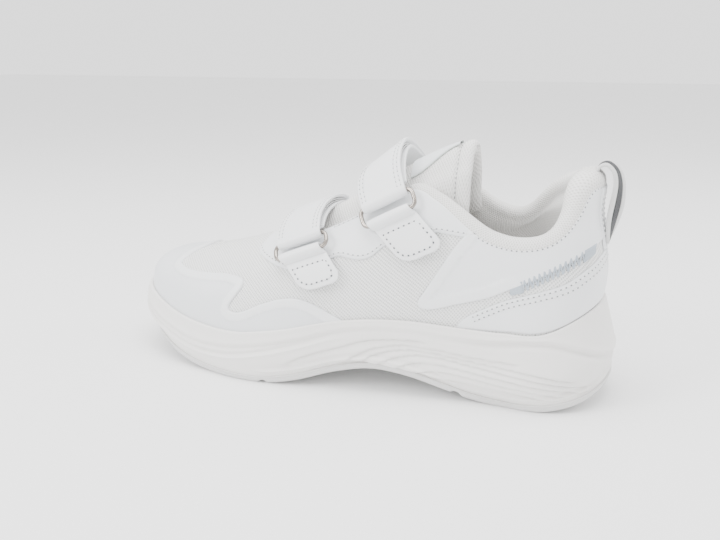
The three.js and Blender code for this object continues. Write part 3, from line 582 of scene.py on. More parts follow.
def use_group(tree, group, **values):
    node = tree.nodes.new("ShaderNodeGroup")
    node.node_tree = group
    for label, value in values.items():
        socket = node.inputs[label.replace("_", " ")]
        if isinstance(value, bpy.types.NodeSocket):
            tree.links.new(value, socket)
        else:
            socket.default_value = value
    return node.outputs


def mix_colours(tree, factor, a, b):
    node = tree.nodes.new("ShaderNodeMix")
    node.data_type = "RGBA"
    if isinstance(factor, bpy.types.NodeSocket):
        tree.links.new(factor, node.inputs["Factor"])
    else:
        node.inputs["Factor"].default_value = factor
    for value, socket in ((a, node.inputs[6]), (b, node.inputs[7])):
        if isinstance(value, bpy.types.NodeSocket):
            tree.links.new(value, socket)
        else:
            socket.default_value = (*value, 1.0)
    return node.outputs[2]


def map_range(tree, value, low, high):
    node = tree.nodes.new("ShaderNodeMapRange")
    node.inputs["To Min"].default_value = low
    node.inputs["To Max"].default_value = high
    tree.links.new(value, node.inputs["Value"])
    return node.outputs["Result"]


def add_bump(tree, shader, heights):
    """Stack bumps: each is (height socket, strength, distance in mm)."""
    previous = None
    for height, strength, distance in heights:
        node = tree.nodes.new("ShaderNodeBump")
        node.inputs["Strength"].default_value = strength
        node.inputs["Distance"].default_value = distance * MM
        tree.links.new(height, node.inputs["Height"])
        if previous is not None:
            tree.links.new(previous, node.inputs["Normal"])
        previous = node.outputs["Normal"]
    tree.links.new(previous, shader.inputs["Normal"])


def mesh_cloth(name, yarn, gap, pitch, slant=0.8, bump=0.35, wear=0.25):
    """Open knitted mesh: light yarns, with the gap colour in the holes standing for the backing seen through
    them plus painted shade.
    """
    material, tree, shader = start_material(name, 0.85, Sheen_Weight=0.12, Sheen_Roughness=0.5)
    place, cloth = place_of(tree), cloth_of(tree)
    knit = use_group(tree, LATTICE, Cloth=cloth, Pitch_mm=pitch, Slant=slant)
    handled = use_group(tree, HANDLING, Place=place, Wear=wear)
    # The gap colour in the holes is partly the backing seen through them and partly painted shade inside the
    # holes.
    colour = mix_colours(tree, knit["Hole"], yarn, gap)
    dusty = mix_colours(tree, math_node(tree, "MULTIPLY", handled["Dust"], 0.22), colour,
                        tuple(c * 0.86 for c in yarn))
    tree.links.new(dusty, shader.inputs["Base Color"])
    tree.links.new(map_range(tree, knit["Hole"], 0.78, 0.95), shader.inputs["Roughness"])
    fuzz = noise_node(tree, place, 2600.0, 2.0)
    add_bump(tree, shader, [(knit["Height"], 0.9, bump), (fuzz, 0.25, 0.12)])
    return material


def coated_leather(name, colour, roughness=0.42, cells=1500.0, depth=0.05, coat=0.12, blotch=0.05):
    """Smooth coated leather or film: a fine pebble, faint blotches and rubbed rims."""
    material, tree, shader = start_material(name, roughness, Coat_Weight=coat, Coat_Roughness=0.35)
    place = place_of(tree)
    grain = use_group(tree, GRAIN, Place=place, Cells_per_m=cells)
    handled = use_group(tree, HANDLING, Place=place, Wear=0.6)
    tone = mix_colours(tree, grain["Blotch"], tuple(c * (1 - blotch) for c in colour), colour)
    dusty = mix_colours(tree, math_node(tree, "MULTIPLY", handled["Dust"], 0.14), tone,
                        tuple(c * 0.9 for c in colour))
    rubbed = mix_colours(tree, handled["Edge"], dusty, tuple(min(c * 1.06, 0.95) for c in colour))
    tree.links.new(rubbed, shader.inputs["Base Color"])
    rough = map_range(tree, grain["Blotch"], roughness - 0.07, roughness + 0.1)
    tree.links.new(rough, shader.inputs["Roughness"])
    add_bump(tree, shader, [(grain["Height"], 0.5, depth), (grain["Blotch"], 0.25, 0.5)])
    return material


def moulded(name, colour, roughness, speckle=0.03, pits=0.05, wear=0.4):
    """Moulded foam or rubber: a faint skin texture with tiny pits."""
    material, tree, shader = start_material(name, roughness, Coat_Weight=0.04, Coat_Roughness=0.4)
    place = place_of(tree)
    fine = noise_node(tree, place, 1500.0, 2.0)
    cloud = noise_node(tree, place, 30.0, 5.0)
    handled = use_group(tree, HANDLING, Place=place, Wear=wear)
    tone = mix_colours(tree, cloud, tuple(c * (1 - speckle) for c in colour), colour)
    dusty = mix_colours(tree, math_node(tree, "MULTIPLY", handled["Dust"], 0.16), tone,
                        tuple(c * f for c, f in zip(colour, (0.93, 0.92, 0.9))))
    scuffed = mix_colours(tree, handled["Edge"], dusty, tuple(c * 0.94 for c in colour))
    tree.links.new(scuffed, shader.inputs["Base Color"])
    tree.links.new(map_range(tree, cloud, roughness - 0.06, roughness + 0.08), shader.inputs["Roughness"])
    add_bump(tree, shader, [(fine, 0.35, pits), (cloud, 0.2, 0.4)])
    return material


print("Recipes ready")

# %% Finishes
# The second colour of each knitted cloth fills its holes: the backing seen through them together with
# painted shade.
MESH_WHITE = mesh_cloth("upper_mesh", (0.87, 0.87, 0.86), (0.50, 0.51, 0.50), 1.65, 0.85, 0.35)
COLLAR_MESH = mesh_cloth("collar_mesh", (0.84, 0.83, 0.81), (0.60, 0.59, 0.56), 1.4, 0.62, 0.3)
LINING_MESH = mesh_cloth("lining_mesh", (0.72, 0.70, 0.67), (0.36, 0.35, 0.33), 1.7, 0.62, 0.45)
LEATHER = coated_leather("white_leather", (0.82, 0.835, 0.85))
FILM = coated_leather("toe_film", (0.75, 0.77, 0.79), 0.38, 2400.0, 0.025, 0.15)
FILM_BAND = coated_leather("film_border", (0.83, 0.845, 0.855), 0.4, 2400.0, 0.025, 0.12)
STRAP_LEATHER = coated_leather("strap_leather", (0.84, 0.85, 0.86), 0.4, 1500.0, 0.05, 0.15)
TONGUE_KNIT = mesh_cloth("tongue_knit", (0.85, 0.84, 0.82), (0.62, 0.61, 0.59), 1.4, 0.55, 0.3)
EVA = moulded("midsole_foam", (0.80, 0.785, 0.765), 0.5)
# The outsole rubber's grey is partly its own tone and partly painted shade of its edge band under the
# midsole's edge.
RUBBER_WITH_SHADE = moulded("outsole_rubber", (0.66, 0.655, 0.645), 0.55, 0.05, 0.07)
BOARD = moulded("fibre_board", (0.48, 0.44, 0.37), 0.9, 0.15, 0.2)
THREAD = moulded("thread", (0.86, 0.86, 0.85), 0.7, 0.04, 0.12)
# Flat dark discs at the stitch ends: painted shade in the needle holes, in three depths of shade.
HOLE_SHADE = moulded("needle_hole_shade", (0.10, 0.105, 0.12), 0.9, 0.1, 0.05)
SOFT_HOLE_SHADE = moulded("shallow_hole_shade", (0.36, 0.38, 0.40), 0.9, 0.1, 0.05)
GREY_HOLE_SHADE = moulded("seam_hole_shade", (0.20, 0.21, 0.22), 0.9, 0.1, 0.05)
TAPE = moulded("hook_and_loop", (0.76, 0.76, 0.76), 0.95, 0.08, 0.5)
PIPING = moulded("tongue_piping", (0.50, 0.54, 0.52), 0.8, 0.1, 0.12)


def reflective_material():
    material, tree, shader = start_material("reflective_transfer", 0.4, 0.25)
    place = place_of(tree)
    beads = noise_node(tree, place, 4200.0, 1.0)
    tone = mix_colours(tree, beads, (0.30, 0.35, 0.41), (0.48, 0.53, 0.58))
    tree.links.new(tone, shader.inputs["Base Color"])
    tree.links.new(map_range(tree, beads, 0.3, 0.5), shader.inputs["Roughness"])
    add_bump(tree, shader, [(beads, 0.4, 0.04)])
    return material


def nickel_material():
    material, tree, shader = start_material("nickel_wire", 0.2, 1.0)
    place = place_of(tree)
    tarnish = noise_node(tree, place, 320.0, 5.0)
    handled = use_group(tree, HANDLING, Place=place, Wear=1.0)
    tone = mix_colours(tree, tarnish, (0.24, 0.21, 0.185), (0.42, 0.385, 0.35))
    tree.links.new(mix_colours(tree, handled["Edge"], tone, (0.72, 0.69, 0.65)), shader.inputs["Base Color"])
    tree.links.new(map_range(tree, tarnish, 0.12, 0.34), shader.inputs["Roughness"])
    add_bump(tree, shader, [(tarnish, 0.15, 0.05)])
    return material


def webbing_material(name, colour, dark):
    """Ribbed narrow webbing: fine ribs along it and a basket crossing; the dark colour in the hollows
    between ribs is painted shade.
    """
    material, tree, shader = start_material(name, 0.8, Sheen_Weight=0.15)
    place, cloth = place_of(tree), cloth_of(tree)
    ribs = use_group(tree, LATTICE, Cloth=cloth, Pitch_mm=0.9, Slant=1.0)
    handled = use_group(tree, HANDLING, Place=place, Wear=0.3)
    # The hollows between the ribs take the dark colour: painted shade.
    tone = mix_colours(tree, ribs["Hole"], colour, dark)
    tree.links.new(mix_colours(tree, math_node(tree, "MULTIPLY", handled["Dust"], 0.2), tone,
                               tuple(c * 1.15 for c in colour)), shader.inputs["Base Color"])
    tree.links.new(map_range(tree, ribs["Hole"], 0.7, 0.9), shader.inputs["Roughness"])
    add_bump(tree, shader, [(ribs["Height"], 0.9, 0.25)])
    return material


REFLECTIVE = reflective_material()
NICKEL = nickel_material()
# The second colour of each webbing fills the hollows between its ribs: painted shade.
WEBBING_DARK = webbing_material("webbing_centre", (0.022, 0.024, 0.028), (0.006, 0.006, 0.008))
WEBBING_WHITE = webbing_material("webbing_edge", (0.78, 0.78, 0.77), (0.5, 0.5, 0.5))
print("Finishes:", len(bpy.data.materials))

# %% [markdown]
# A camera with a long lens stands a forearm's length away and looks slightly down at the
# outer side. Big soft lights and a pale floor give the even, high-key look of a catalogue.

# %% Camera, light and floor
CAMERA_AZIMUTH, CAMERA_ELEVATION, CAMERA_DISTANCE = math.radians(21.0), math.radians(15.3), 450.0
CAMERA_TARGET = np.array([-3.1, 2.2, 51.8])


def place_camera():
    away = np.array([math.sin(CAMERA_AZIMUTH) * math.cos(CAMERA_ELEVATION),
                     -math.cos(CAMERA_AZIMUTH) * math.cos(CAMERA_ELEVATION), math.sin(CAMERA_ELEVATION)])
    data = bpy.data.cameras.new("camera")
    data.sensor_width = 36
    data.lens = 40.6
    camera = bpy.data.objects.new("camera", data)
    camera.location = Vector((CAMERA_TARGET + away * CAMERA_DISTANCE + SHIFT) * MM)
    camera.rotation_euler = Vector(-away).to_track_quat("-Z", "Y").to_euler()
    bpy.context.collection.objects.link(camera)
    bpy.context.scene.camera = camera


def soft_light(name, place, aim, size, power):
    data = bpy.data.lights.new(name, "AREA")
    data.shape = "RECTANGLE"
    data.size, data.size_y, data.energy = size[0], size[1], power
    lamp = bpy.data.objects.new(name, data)
    lamp.location = place
    lamp.rotation_euler = (Vector(aim) - Vector(place)).to_track_quat("-Z", "Y").to_euler()
    bpy.context.collection.objects.link(lamp)


def studio():
    world = bpy.data.worlds.new("studio")
    bpy.context.scene.world = world
    world.use_nodes = True
    world.node_tree.nodes["Background"].inputs[0].default_value = (1, 1, 1, 1)
    world.node_tree.nodes["Background"].inputs[1].default_value = 1.95
    soft_light("top_light", (0.0, -0.1, 0.9), (0, 0, 0.03), (0.8, 0.6), 11.0)
    soft_light("key_light", (-0.7, -0.75, 0.65), (0, 0, 0.05), (0.45, 0.45), 9.0)
    soft_light("rim_light", (0.8, 0.5, 0.5), (0.05, 0, 0.06), (0.4, 0.5), 3.0)
    bpy.ops.mesh.primitive_plane_add(size=8)
    floor = bpy.context.object
    floor.name = "floor"
    material, tree, shader = start_material("floor_paint", 0.75)
    tone = mix_colours(tree, noise_node(tree, place_of(tree), 3.0), (0.88, 0.88, 0.88), (0.9, 0.9, 0.9))
    tree.links.new(tone, shader.inputs["Base Color"])
    floor.data.materials.append(material)


place_camera()
studio()
print("Camera at", tuple(round(v, 4) for v in bpy.context.scene.camera.location))

# %% [markdown]
# The mesh upper is one cloth pulled over the last and left open at the throat and ankle. It could be
# unwrapped from a scan; a grid that follows the last is cleaner, since its columns end exactly on the
# opening's line, where the collar and the eyestay are sewn on.

# %% The opening's line
LATERAL_OPENING = [(-42, 73), (-30, 73), (-8, 81.5), (9, 90), (34, 103), (47, 99.8), (57, 93.5),
                   (66.6, 86.5), (75, 82), (87, 79.5), (99.5, 81), (108, 86), (114, 95), (117.5, 104),
                   (121, 108), (129, 108)]
MEDIAL_OPENING = [(-42, 73), (-30, 73), (-8, 81.5), (9, 90), (34, 104), (46, 102.5), (54, 98), (62, 91),
                  (70, 86.5), (80, 84.5), (88, 88), (94.5, 95), (101, 101.5), (110, 106), (121, 108),
                  (140, 108)]
THROAT_FRONT = -41.0


def opening_angle(station, medial=False):
    """Where the upper ends at a station; the throat's front is rounded like a U."""
    line = smooth_line(MEDIAL_OPENING if medial else LATERAL_OPENING, 1.5)
    at, angle = locate(line, medial)
    at, first = np.unique(at, return_index=True)
    edge = np.interp(station, at, angle[first])
    share = np.sqrt(np.clip((station - THROAT_FRONT) / 9, 0, 1))
    return math.pi / 2 + (edge - math.pi / 2) * share


def upper_shell(name, outer, inner, material, tuck=6.6, stations=170, columns=44):
    """A cloth shell between two heights over the last, turned over at its free edge."""
    rows = stations_along(stations)
    points, faces, flat = [], [], []
    for medial in (False, True):
        limit = opening_angle(rows, medial)
        start = math.pi if medial else 0.0
        base = sum(len(p) for p in points)
        sheet = []
        for height in (outer, inner):
            for k in np.linspace(0, 1, columns):
                angle = start + (limit - start) * k
                p = form_point(rows, angle) + form_normal(rows, angle) * height
                sheet.append(p)
            foot = sheet[-columns] - np.array([0, 0, tuck])
            sheet.insert(len(sheet) - columns, foot)
        count = columns + 1
        outside, inside = sheet[:count], sheet[count:][::-1]
        grid = np.stack(outside + inside, 1)
        points.append(grid.reshape(-1, 3))
        cells = grid_faces(stations, grid.shape[1])
        faces += [tuple(base + v for v in face) for face in (flipped(cells) if medial else cells)]
        shares = np.linspace(0, 1, columns)
        girth = np.stack([girth_at(rows, start + (limit - start) * k) for k in shares], 1)
        girth = np.concatenate([girth[:, :1], girth], 1)
        run = np.repeat(run_at(rows)[:, None], 2 * count, 1)
        flat.append(np.stack([run, np.concatenate([girth, girth[:, ::-1]], 1)], -1).reshape(-1, 2))
    shell = new_piece(name, np.vstack(points), faces, [material], uv=np.vstack(flat))
    work = bmesh.new()
    work.from_mesh(shell.data)
    bmesh.ops.remove_doubles(work, verts=work.verts, dist=0.02 * MM)
    work.to_mesh(shell.data)
    work.free()
    return shell


upper = upper_shell("mesh_cloth_upper", 0.0, -1.2, MESH_WHITE)
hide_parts("mesh_upper")
vamp = upper_shell("vamp_lining_cloth", -2.8, -3.6, LINING_MESH, stations=120, columns=28)
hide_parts("vamp_lining")
print("Upper faces:", len(upper.data.polygons), "lining faces:", len(vamp.data.polygons))

# %% [markdown]
# The overlays are thin cut panels welded or sewn on the mesh: a toe cap of film with a raised border
# band, eyestays, a quarter panel, a heel panel and a reflective strip. Each is drawn flat as an
# outline, cut out, and laid on the last with a rolled edge.

# %% Outlines of the overlays
TOE_EDGE = [(-101, 56), (-103, 53), (-100, 52), (-94, 51.2), (-85, 51.4), (-76, 52), (-65, 53.2),
            (-56.5, 53), (-53, 51.3), (-53.2, 48.5), (-57, 43), (-60, 38.5), (-59.4, 36), (-55, 35.6),
            (-50, 37), (-42, 41), (-33, 44.6), (-27, 46.2), (-20, 46.8), (-12, 45), (-3, 41), (6, 36.4)]
EYESTAY_EDGE = [(-51, 66), (-47, 64), (-40, 62), (-33, 60.6), (-26, 60), (-17, 61), (-9, 64.5), (-1, 68.6),
                (5, 68.2), (11, 68), (17, 70), (21, 73.5), (24, 76), (32, 79.6), (41, 82.6), (50, 84),
                (60, 83.2), (67, 83), (71, 84)]
QUARTER_EDGE = [(65, 86.5), (62, 82), (57, 75), (51, 65), (45, 55), (42.2, 50.5), (43, 46.8), (48, 46.2),
                (54, 47.7), (61, 50), (76, 54.6), (87, 60), (100, 66.5), (112, 73.5), (122, 80), (127, 84)]
HEEL_EDGE = [(60, 36.5), (64, 42), (69, 46), (84, 54), (98, 59), (111, 64), (118, 69), (123, 73),
             (126.5, 77)]


def side_line(points, medial=False, step=1.2, closed=False):
    return even_steps(flat_pattern(smooth_line(points, 1.0, closed), medial), step)


def throat_line(first, last, medial=False, step=1.4, inset=0.4):
    """The opening's edge from one station to another, as a flat line a hair inside the upper."""
    station = np.linspace(first, last, 220)
    girth = girth_at(station, opening_angle(station, medial))
    line = np.stack([run_at(station), girth + (inset if medial else -inset)], -1)
    return even_steps(line, step)


def feather_line(first, last, medial=False, step=1.6):
    station = np.linspace(first, last, 200)
    angle = np.full(200, math.pi - 1e-3 if medial else 1e-3)
    return even_steps(np.stack([run_at(station), girth_at(station, angle)], -1), step)


toe_near, toe_far = side_line(TOE_EDGE), side_line(TOE_EDGE, True)
top_front = np.linspace(toe_near[0], toe_far[0], 40)[1:-1]
top_front[:, 0] += 2.2 * np.sin(np.linspace(0, math.pi, 38)) ** 0.8
near_foot = feather_line(station_at(toe_near[-1:, 0])[0] + 1.5, TOE + 0.02)
far_foot = feather_line(TOE + 0.02, station_at(toe_far[-1:, 0])[0] + 1.5, True)
TOE_WINDOW = np.vstack([toe_near[::-1], top_front, toe_far])
toe_outline = np.vstack([TOE_WINDOW, far_foot[::-1], near_foot[::-1]])
print("Toe cap outline:", (toe_outline.max(0) - toe_outline.min(0)).round(1), "mm")

# %% Toe cap
BAND = 4.6


def border_along(line, width, soft=0.3):
    """A mask over the flat pattern: 1 within a width of a line, 0 beyond it."""
    def mask(flat):
        return 1 - smoothstep(width - soft, width + soft, distance_to_line(flat, line, closed=False))
    return mask


toe_cap = panel("toe_cap_film", toe_outline, FILM, 0.05, 0.8, rim=0.8, spacing=1.7,
                border=border_along(TOE_WINDOW, BAND), border_material=FILM_BAND)
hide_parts("toe_overlay")
print("Toe cap faces:", len(toe_cap.data.polygons))

# %% Eyestay
near_edge, far_edge = side_line(EYESTAY_EDGE), side_line(EYESTAY_EDGE, True)
near_end, far_end = near_edge[0], far_edge[0]
front_turn = smooth_line([near_end, (-49.5, near_end[1] * 0.72), (-49, near_end[1] * 0.35), (-48.6, 0),
                          (-49, far_end[1] * 0.35), (-49.5, far_end[1] * 0.72), far_end], 1.3)[1:-1]
last_near, last_far = station_at(near_edge[-1:, 0])[0], station_at(far_edge[-1:, 0])[0]
near_throat = throat_line(THROAT_FRONT + 0.02, last_near)
far_throat = throat_line(THROAT_FRONT + 0.02, last_far, True)
eyestay_outline = np.vstack([near_edge[::-1], front_turn, far_edge, far_throat[::-1], near_throat])
eyestay = panel("eyestay", eyestay_outline, LEATHER, 0.1, 1.0, rim=0.8, spacing=2.2)
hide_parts("eyestay_lateral", "eyestay_medial")
print("Eyestay faces:", len(eyestay.data.polygons))

# %% [markdown]
# Behind the eyestay a quarter panel wraps the ankle, with its own raised border, and a heel panel
# stands on the sole. A zig-zag reflective strip bridges the mesh left between the two. The two halves
# of the shoe get the same cut, since the inner side is a mirror pattern on a real shoe.

# %% Quarter, heel and strip
def join_pieces(name, parts):
    """Make several meshes one object, which keeps the first one's place and materials."""
    with bpy.context.temp_override(active_object=parts[0], selected_editable_objects=parts):
        bpy.ops.object.join()
    parts[0].name = name
    for _ in parts[1:]:
        made.pop()
    return parts[0]


HEEL_END = HEEL - 0.02


def heel_end_line(low, high, medial=False, step=1.4):
    """The line down the middle of the heel between two heights."""
    _, angle = locate([(HEEL_END + heel_bulge(z), z) for z in np.linspace(low, high, 40)], medial)
    stations = np.full(40, HEEL_END)
    return even_steps(np.stack([run_at(stations), girth_at(stations, angle)], -1), step)


def before_heel(edge):
    """The part of an edge line that stops just short of the heel's middle."""
    return edge[edge[:, 0] < run_at(HEEL_END) - 0.5]


def quarter_outline(medial):
    edge = before_heel(side_line(QUARTER_EDGE, medial))
    back = heel_end_line(83.5, 106.5, medial)
    top = throat_line(65.5, HEEL_END, medial)
    return np.vstack([edge, back, top[::-1]])


for side, medial in (("lateral", False), ("medial", True)):
    border = side_line(QUARTER_EDGE[:12], medial)
    quarter = panel(f"quarter_{side}", quarter_outline(medial), LEATHER, 0.08, 0.75, rim=0.7, spacing=1.9,
                    border=border_along(border, 5.6), border_material=FILM_BAND)
    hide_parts(f"quarter_panel_{side}")
print("Quarter faces:", len(quarter.data.polygons))

# %% Heel panel
halves = []
for medial in (False, True):
    edge = before_heel(side_line(HEEL_EDGE, medial))
    foot = feather_line(61, HEEL_END, medial)
    z_foot = form_point(HEEL_END, 0.0)[2] + 0.5
    outline = np.vstack([edge, heel_end_line(77.5, z_foot, medial), foot[::-1]])
    halves.append(panel("heel_half", outline, LEATHER, 0.08, 0.8, rim=0.8, spacing=2.2))
heel_cover = join_pieces("heel_cover", halves)
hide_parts("heel_panel")
print("Heel cover faces:", len(heel_cover.data.polygons))

# %% Reflective strip
ZIG_TOP = [(92, 64.6), (104, 71.2), (118.3, 79.4)]
ZIG_FOOT = [(92.8, 59.4), (104, 65.3), (118.6, 74.0)]
ZIG_BLOCKS = ([(86.2, 62.2), (92.4, 65.0), (93.3, 59.0), (87, 57.0)],
              [(118.0, 79.6), (122.6, 82.0), (122.6, 76.8), (118.6, 73.6)])


def zig_zag(medial, teeth=12):
    """The saw-tooth line between the strip's two blocks, as a thin ribbon on the mesh."""
    share = np.linspace(0, 1, 2 * teeth + 1)
    top = even_steps(smooth_line(ZIG_TOP, 0.5), 0.5)
    foot = even_steps(smooth_line(ZIG_FOOT, 0.5), 0.5)
    top = np.stack([np.interp(share, np.linspace(0, 1, len(top)), c) for c in top.T], -1)
    foot = np.stack([np.interp(share, np.linspace(0, 1, len(foot)), c) for c in foot.T], -1)
    corners = np.where((np.arange(len(share)) % 2 == 0)[:, None], foot, top)
    flat = even_steps(flat_pattern(corners, medial), 0.35)
    path = on_last(flat, np.full(len(flat), 0.62))
    up = on_last(flat, np.full(len(flat), 1.62)) - path
    heading = np.gradient(path, axis=0)
    side = unit(np.cross(up, heading))
    return sweep("zig_zag", path, side, up, rounded_section(0.85, 0.5, corner=0.4, count=3), [REFLECTIVE])


for side, medial in (("lateral", False), ("medial", True)):
    parts = [zig_zag(medial)]
    for block in ZIG_BLOCKS:
        corners = np.array([*block, block[0]], float)
        outline = even_steps(flat_pattern(even_steps(corners, 0.5), medial), 0.6)[:-1]
        parts.append(panel("end_block", outline, REFLECTIVE, 0.4, 0.95, rim=0.25, spacing=1.3, steps=(0.3,)))
    strip = join_pieces(f"reflective_{side}", parts)
    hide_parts(f"reflective_strip_{side}")
print("Reflective strip faces:", len(strip.data.polygons))

# %% [markdown]
# The collar is a foam-stuffed tube of mesh sewn along the opening. It could be simulated as cloth
# under pressure; a padded section carried along the seam gives the same fat roll and keeps its seam
# crisp, so the roll is built from that section and its inner wall follows the last.

# %% Padded collar
COLLAR_FROM = 33.0


def seam_points(medial, count=260):
    station = COLLAR_FROM + (HEEL - COLLAR_FROM) * np.sin(np.linspace(0, math.pi / 2, count))
    angle = opening_angle(station, medial)
    return np.column_stack([station, angle, form_point(station, angle)])


near_seam, far_seam = seam_points(False), seam_points(True)
seam = np.vstack([near_seam, far_seam[-2::-1]])
travel = travelled_along(seam[:, 2:])
COLLAR_ROWS = 240
at = np.linspace(0, travel[-1], COLLAR_ROWS)
seam = np.stack([np.interp(at, travel, column) for column in seam.T], -1)


def soften(line, passes):
    for _ in range(passes):
        line[1:-1] = (line[:-2] + 2 * line[1:-1] + line[2:]) / 4
    return line


soften(seam, 6)
tangent = unit(np.gradient(seam[:, 2:], axis=0))
normal = form_normal(seam[:, 0], seam[:, 1])
soften(normal, 24)
normal -= tangent * np.sum(normal * tangent, 1, keepdims=True)
normal = unit(normal)
rising = np.cross(normal, tangent)
rising *= np.sign(np.sum(rising[:, 2:], 1, keepdims=True))
fullness = smoothstep(0, 46, at) * smoothstep(0, 46, at[-1] - at)
heel_share = np.exp(-((at - at[-1] / 2 - 6) / 30) ** 4)
thickness = 3.6 + 5.6 * fullness + 5.5 * heel_share
rise = 3.6 + 1.6 * fullness + 1.6 * heel_share
print("Collar seam:", at[-1].round(1), "mm long")

# %% Collar rows
ROLL_TURNS = np.radians(np.concatenate([[-62, -38, -20], np.linspace(-5, 185, 22)]))
WALL_ROWS = 26
rows = []
for turn in ROLL_TURNS:
    side = np.sign(math.cos(turn)) * abs(math.cos(turn)) ** 0.85
    lift = np.sign(math.sin(turn)) * abs(math.sin(turn)) ** 0.9
    out = 0.7 + side * thickness / 2 - thickness / 2
    raised = rise * lift * (1 if turn > 0 else 0.5)
    rows.append(seam[:, 2:] + normal * out[:, None] + rising * raised[:, None])
inner_top = rows[-1]
LINING_FLOOR = 61
floor_z = np.minimum(LINING_FLOOR, inner_top[:, 2] - 6)
inset = np.minimum(thickness, 9.6) + 4.0 * heel_share
station_in = TOE + inset + (LENGTH - 2 * inset) * (seam[:, 0] - TOE) / LENGTH
medial_row = seam[:, 1] > math.pi / 2
for k in np.linspace(0, 1, WALL_ROWS)[1:]:
    height = inner_top[:, 2] + (floor_z - inner_top[:, 2]) * k
    low, high = np.zeros(COLLAR_ROWS), np.full(COLLAR_ROWS, math.pi / 2)
    for _ in range(22):
        middle = (low + high) / 2
        below = form_point(station_in, np.where(medial_row, math.pi - middle, middle), inset)[:, 2] < height
        low, high = np.where(below, middle, low), np.where(below, high, middle)
    wall = form_point(station_in, np.where(medial_row, math.pi - low, low), inset)
    blend = smoothstep(0, 0.35, k)
    straight = inner_top + (0, 0, 1) * ((floor_z - inner_top[:, 2]) * k)[:, None]
    rows.append(straight * (1 - blend) + wall * blend)
grid = np.stack(rows, 1)
uv = np.stack(np.broadcast_arrays(at[:, None], np.arange(grid.shape[1])[None, :] * 1.0), -1)
step = np.linalg.norm(np.diff(grid, axis=1), axis=-1).mean(0)
uv[:, :, 1] = np.concatenate([[0], np.cumsum(step)])[None, :]
faces = grid_faces(COLLAR_ROWS, grid.shape[1])
last_row = (COLLAR_ROWS - 1) * grid.shape[1]
faces += [tuple(range(len(ROLL_TURNS)))[::-1], tuple(last_row + j for j in range(len(ROLL_TURNS)))]
collar = new_piece("padded_collar", grid.reshape(-1, 3), faces, [COLLAR_MESH], uv=uv.reshape(-1, 2))
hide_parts("collar_lining", "collar_foam")
print("Collar faces:", len(collar.data.polygons))

# %% [markdown]
# The tongue is a padded tab: knitted face, foam and lining, closed at the top by a fat rolled edge.
# One closed section carried along the instep gives the pad and its edges together; the face is
# pillowed, and the roll at the top is a second bulge behind a sewn seam.

# %% Tongue shape
TONGUE_START = -44.0
TONGUE_EDGE, TONGUE_RISE = 5.6, 7.0
TONGUE_TOP = 61.3
SEAM_AT = 54.0
TONGUE_SPREAD, TONGUE_TOP_SPREAD = 46.0, 56.0
# The pad's thickness, how far its seam pinches it, where its middle lies under its face, and the length
# of the rolled top.
PAD, PINCH, PAD_MIDDLE, TOP_ROLL = 8.2, 2.2, 4.6, 4.2


def tongue_point(x, share, depth):
    """The tongue's face at a station; share runs from -1 on its outer edge to 1 on its inner edge."""
    x, share, depth = np.broadcast_arrays(np.asarray(x, float), share, depth)
    spread = np.radians(TONGUE_SPREAD + (TONGUE_TOP_SPREAD - TONGUE_SPREAD) * smoothstep(18, 44, x))
    offset = share * spread
    middle = 1 - smoothstep(0, 1, np.abs(offset) / math.radians(25))
    lift = TONGUE_RISE * middle * smoothstep(TONGUE_START, TONGUE_START + 30, x)
    lift += 1.2 * middle * smoothstep(-36, -14, x) * smoothstep(34, 14, x)
    tuck = 4.2 * smoothstep(38, 54, x) * smoothstep(0.45, 0.8, np.abs(share))
    return form_point(x, math.pi / 2 + offset, TONGUE_EDGE - lift + depth + tuck, tongue_ridge)


def tongue_profile(x):
    """How thick the pad is at a station: full along the shaft, pinched at the seam, fat at the roll."""
    body = PAD - PINCH * np.exp(-((x - SEAM_AT) / 1.3) ** 2)
    end = np.sqrt(np.clip(1 - ((x - (TONGUE_TOP - TOP_ROLL)) / 4.25) ** 2, 0, 1))
    return np.where(x > TONGUE_TOP - TOP_ROLL, PAD * np.maximum(end, 0.02), body)


tongue_x = np.concatenate([np.linspace(TONGUE_START, 47, 90), np.linspace(47.4, TONGUE_TOP - TOP_ROLL, 40),
                           TONGUE_TOP - TOP_ROLL + TOP_ROLL * np.sin(np.linspace(0.12, math.pi / 2, 12))])
share_row = np.sin(np.linspace(-math.pi / 2, math.pi / 2, 60))
rows = []
for x in tongue_x:
    thick = tongue_profile(np.array(x))
    round_edge = np.sqrt(np.clip(1 - np.abs(share_row) ** 5, 0, 1))
    pinch = 0.9 * math.exp(-((x - SEAM_AT) / 1.0) ** 2)
    top = tongue_point(x, share_row * 0.985, PAD_MIDDLE - (thick / 2 - pinch / 2) * round_edge)
    bottom = tongue_point(x, share_row * 0.985, PAD_MIDDLE + (thick / 2) * round_edge)
    rows.append(np.vstack([top, bottom[::-1][1:-1]]))
section_count = rows[0].shape[0]
spine = travelled_along([row[30] for row in rows])
around = travelled_along(rows[60])
uv = np.stack(np.broadcast_arrays(spine[:, None], around[None, :]), -1).reshape(-1, 2)
faces = grid_faces(len(rows), section_count, wrap=True)
faces += [tuple(range(section_count))[::-1],
          tuple((len(rows) - 1) * section_count + j for j in range(section_count))]
tongue_pad = new_piece("padded_tongue", np.vstack(rows), faces, [TONGUE_KNIT], "tongue", uv=uv)
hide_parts("tongue_face", "tongue_lining", "tongue_binding", "tongue_foam")
print("Tongue pad:", len(tongue_pad.data.polygons), "faces, section", around[-1].round(1), "mm round")

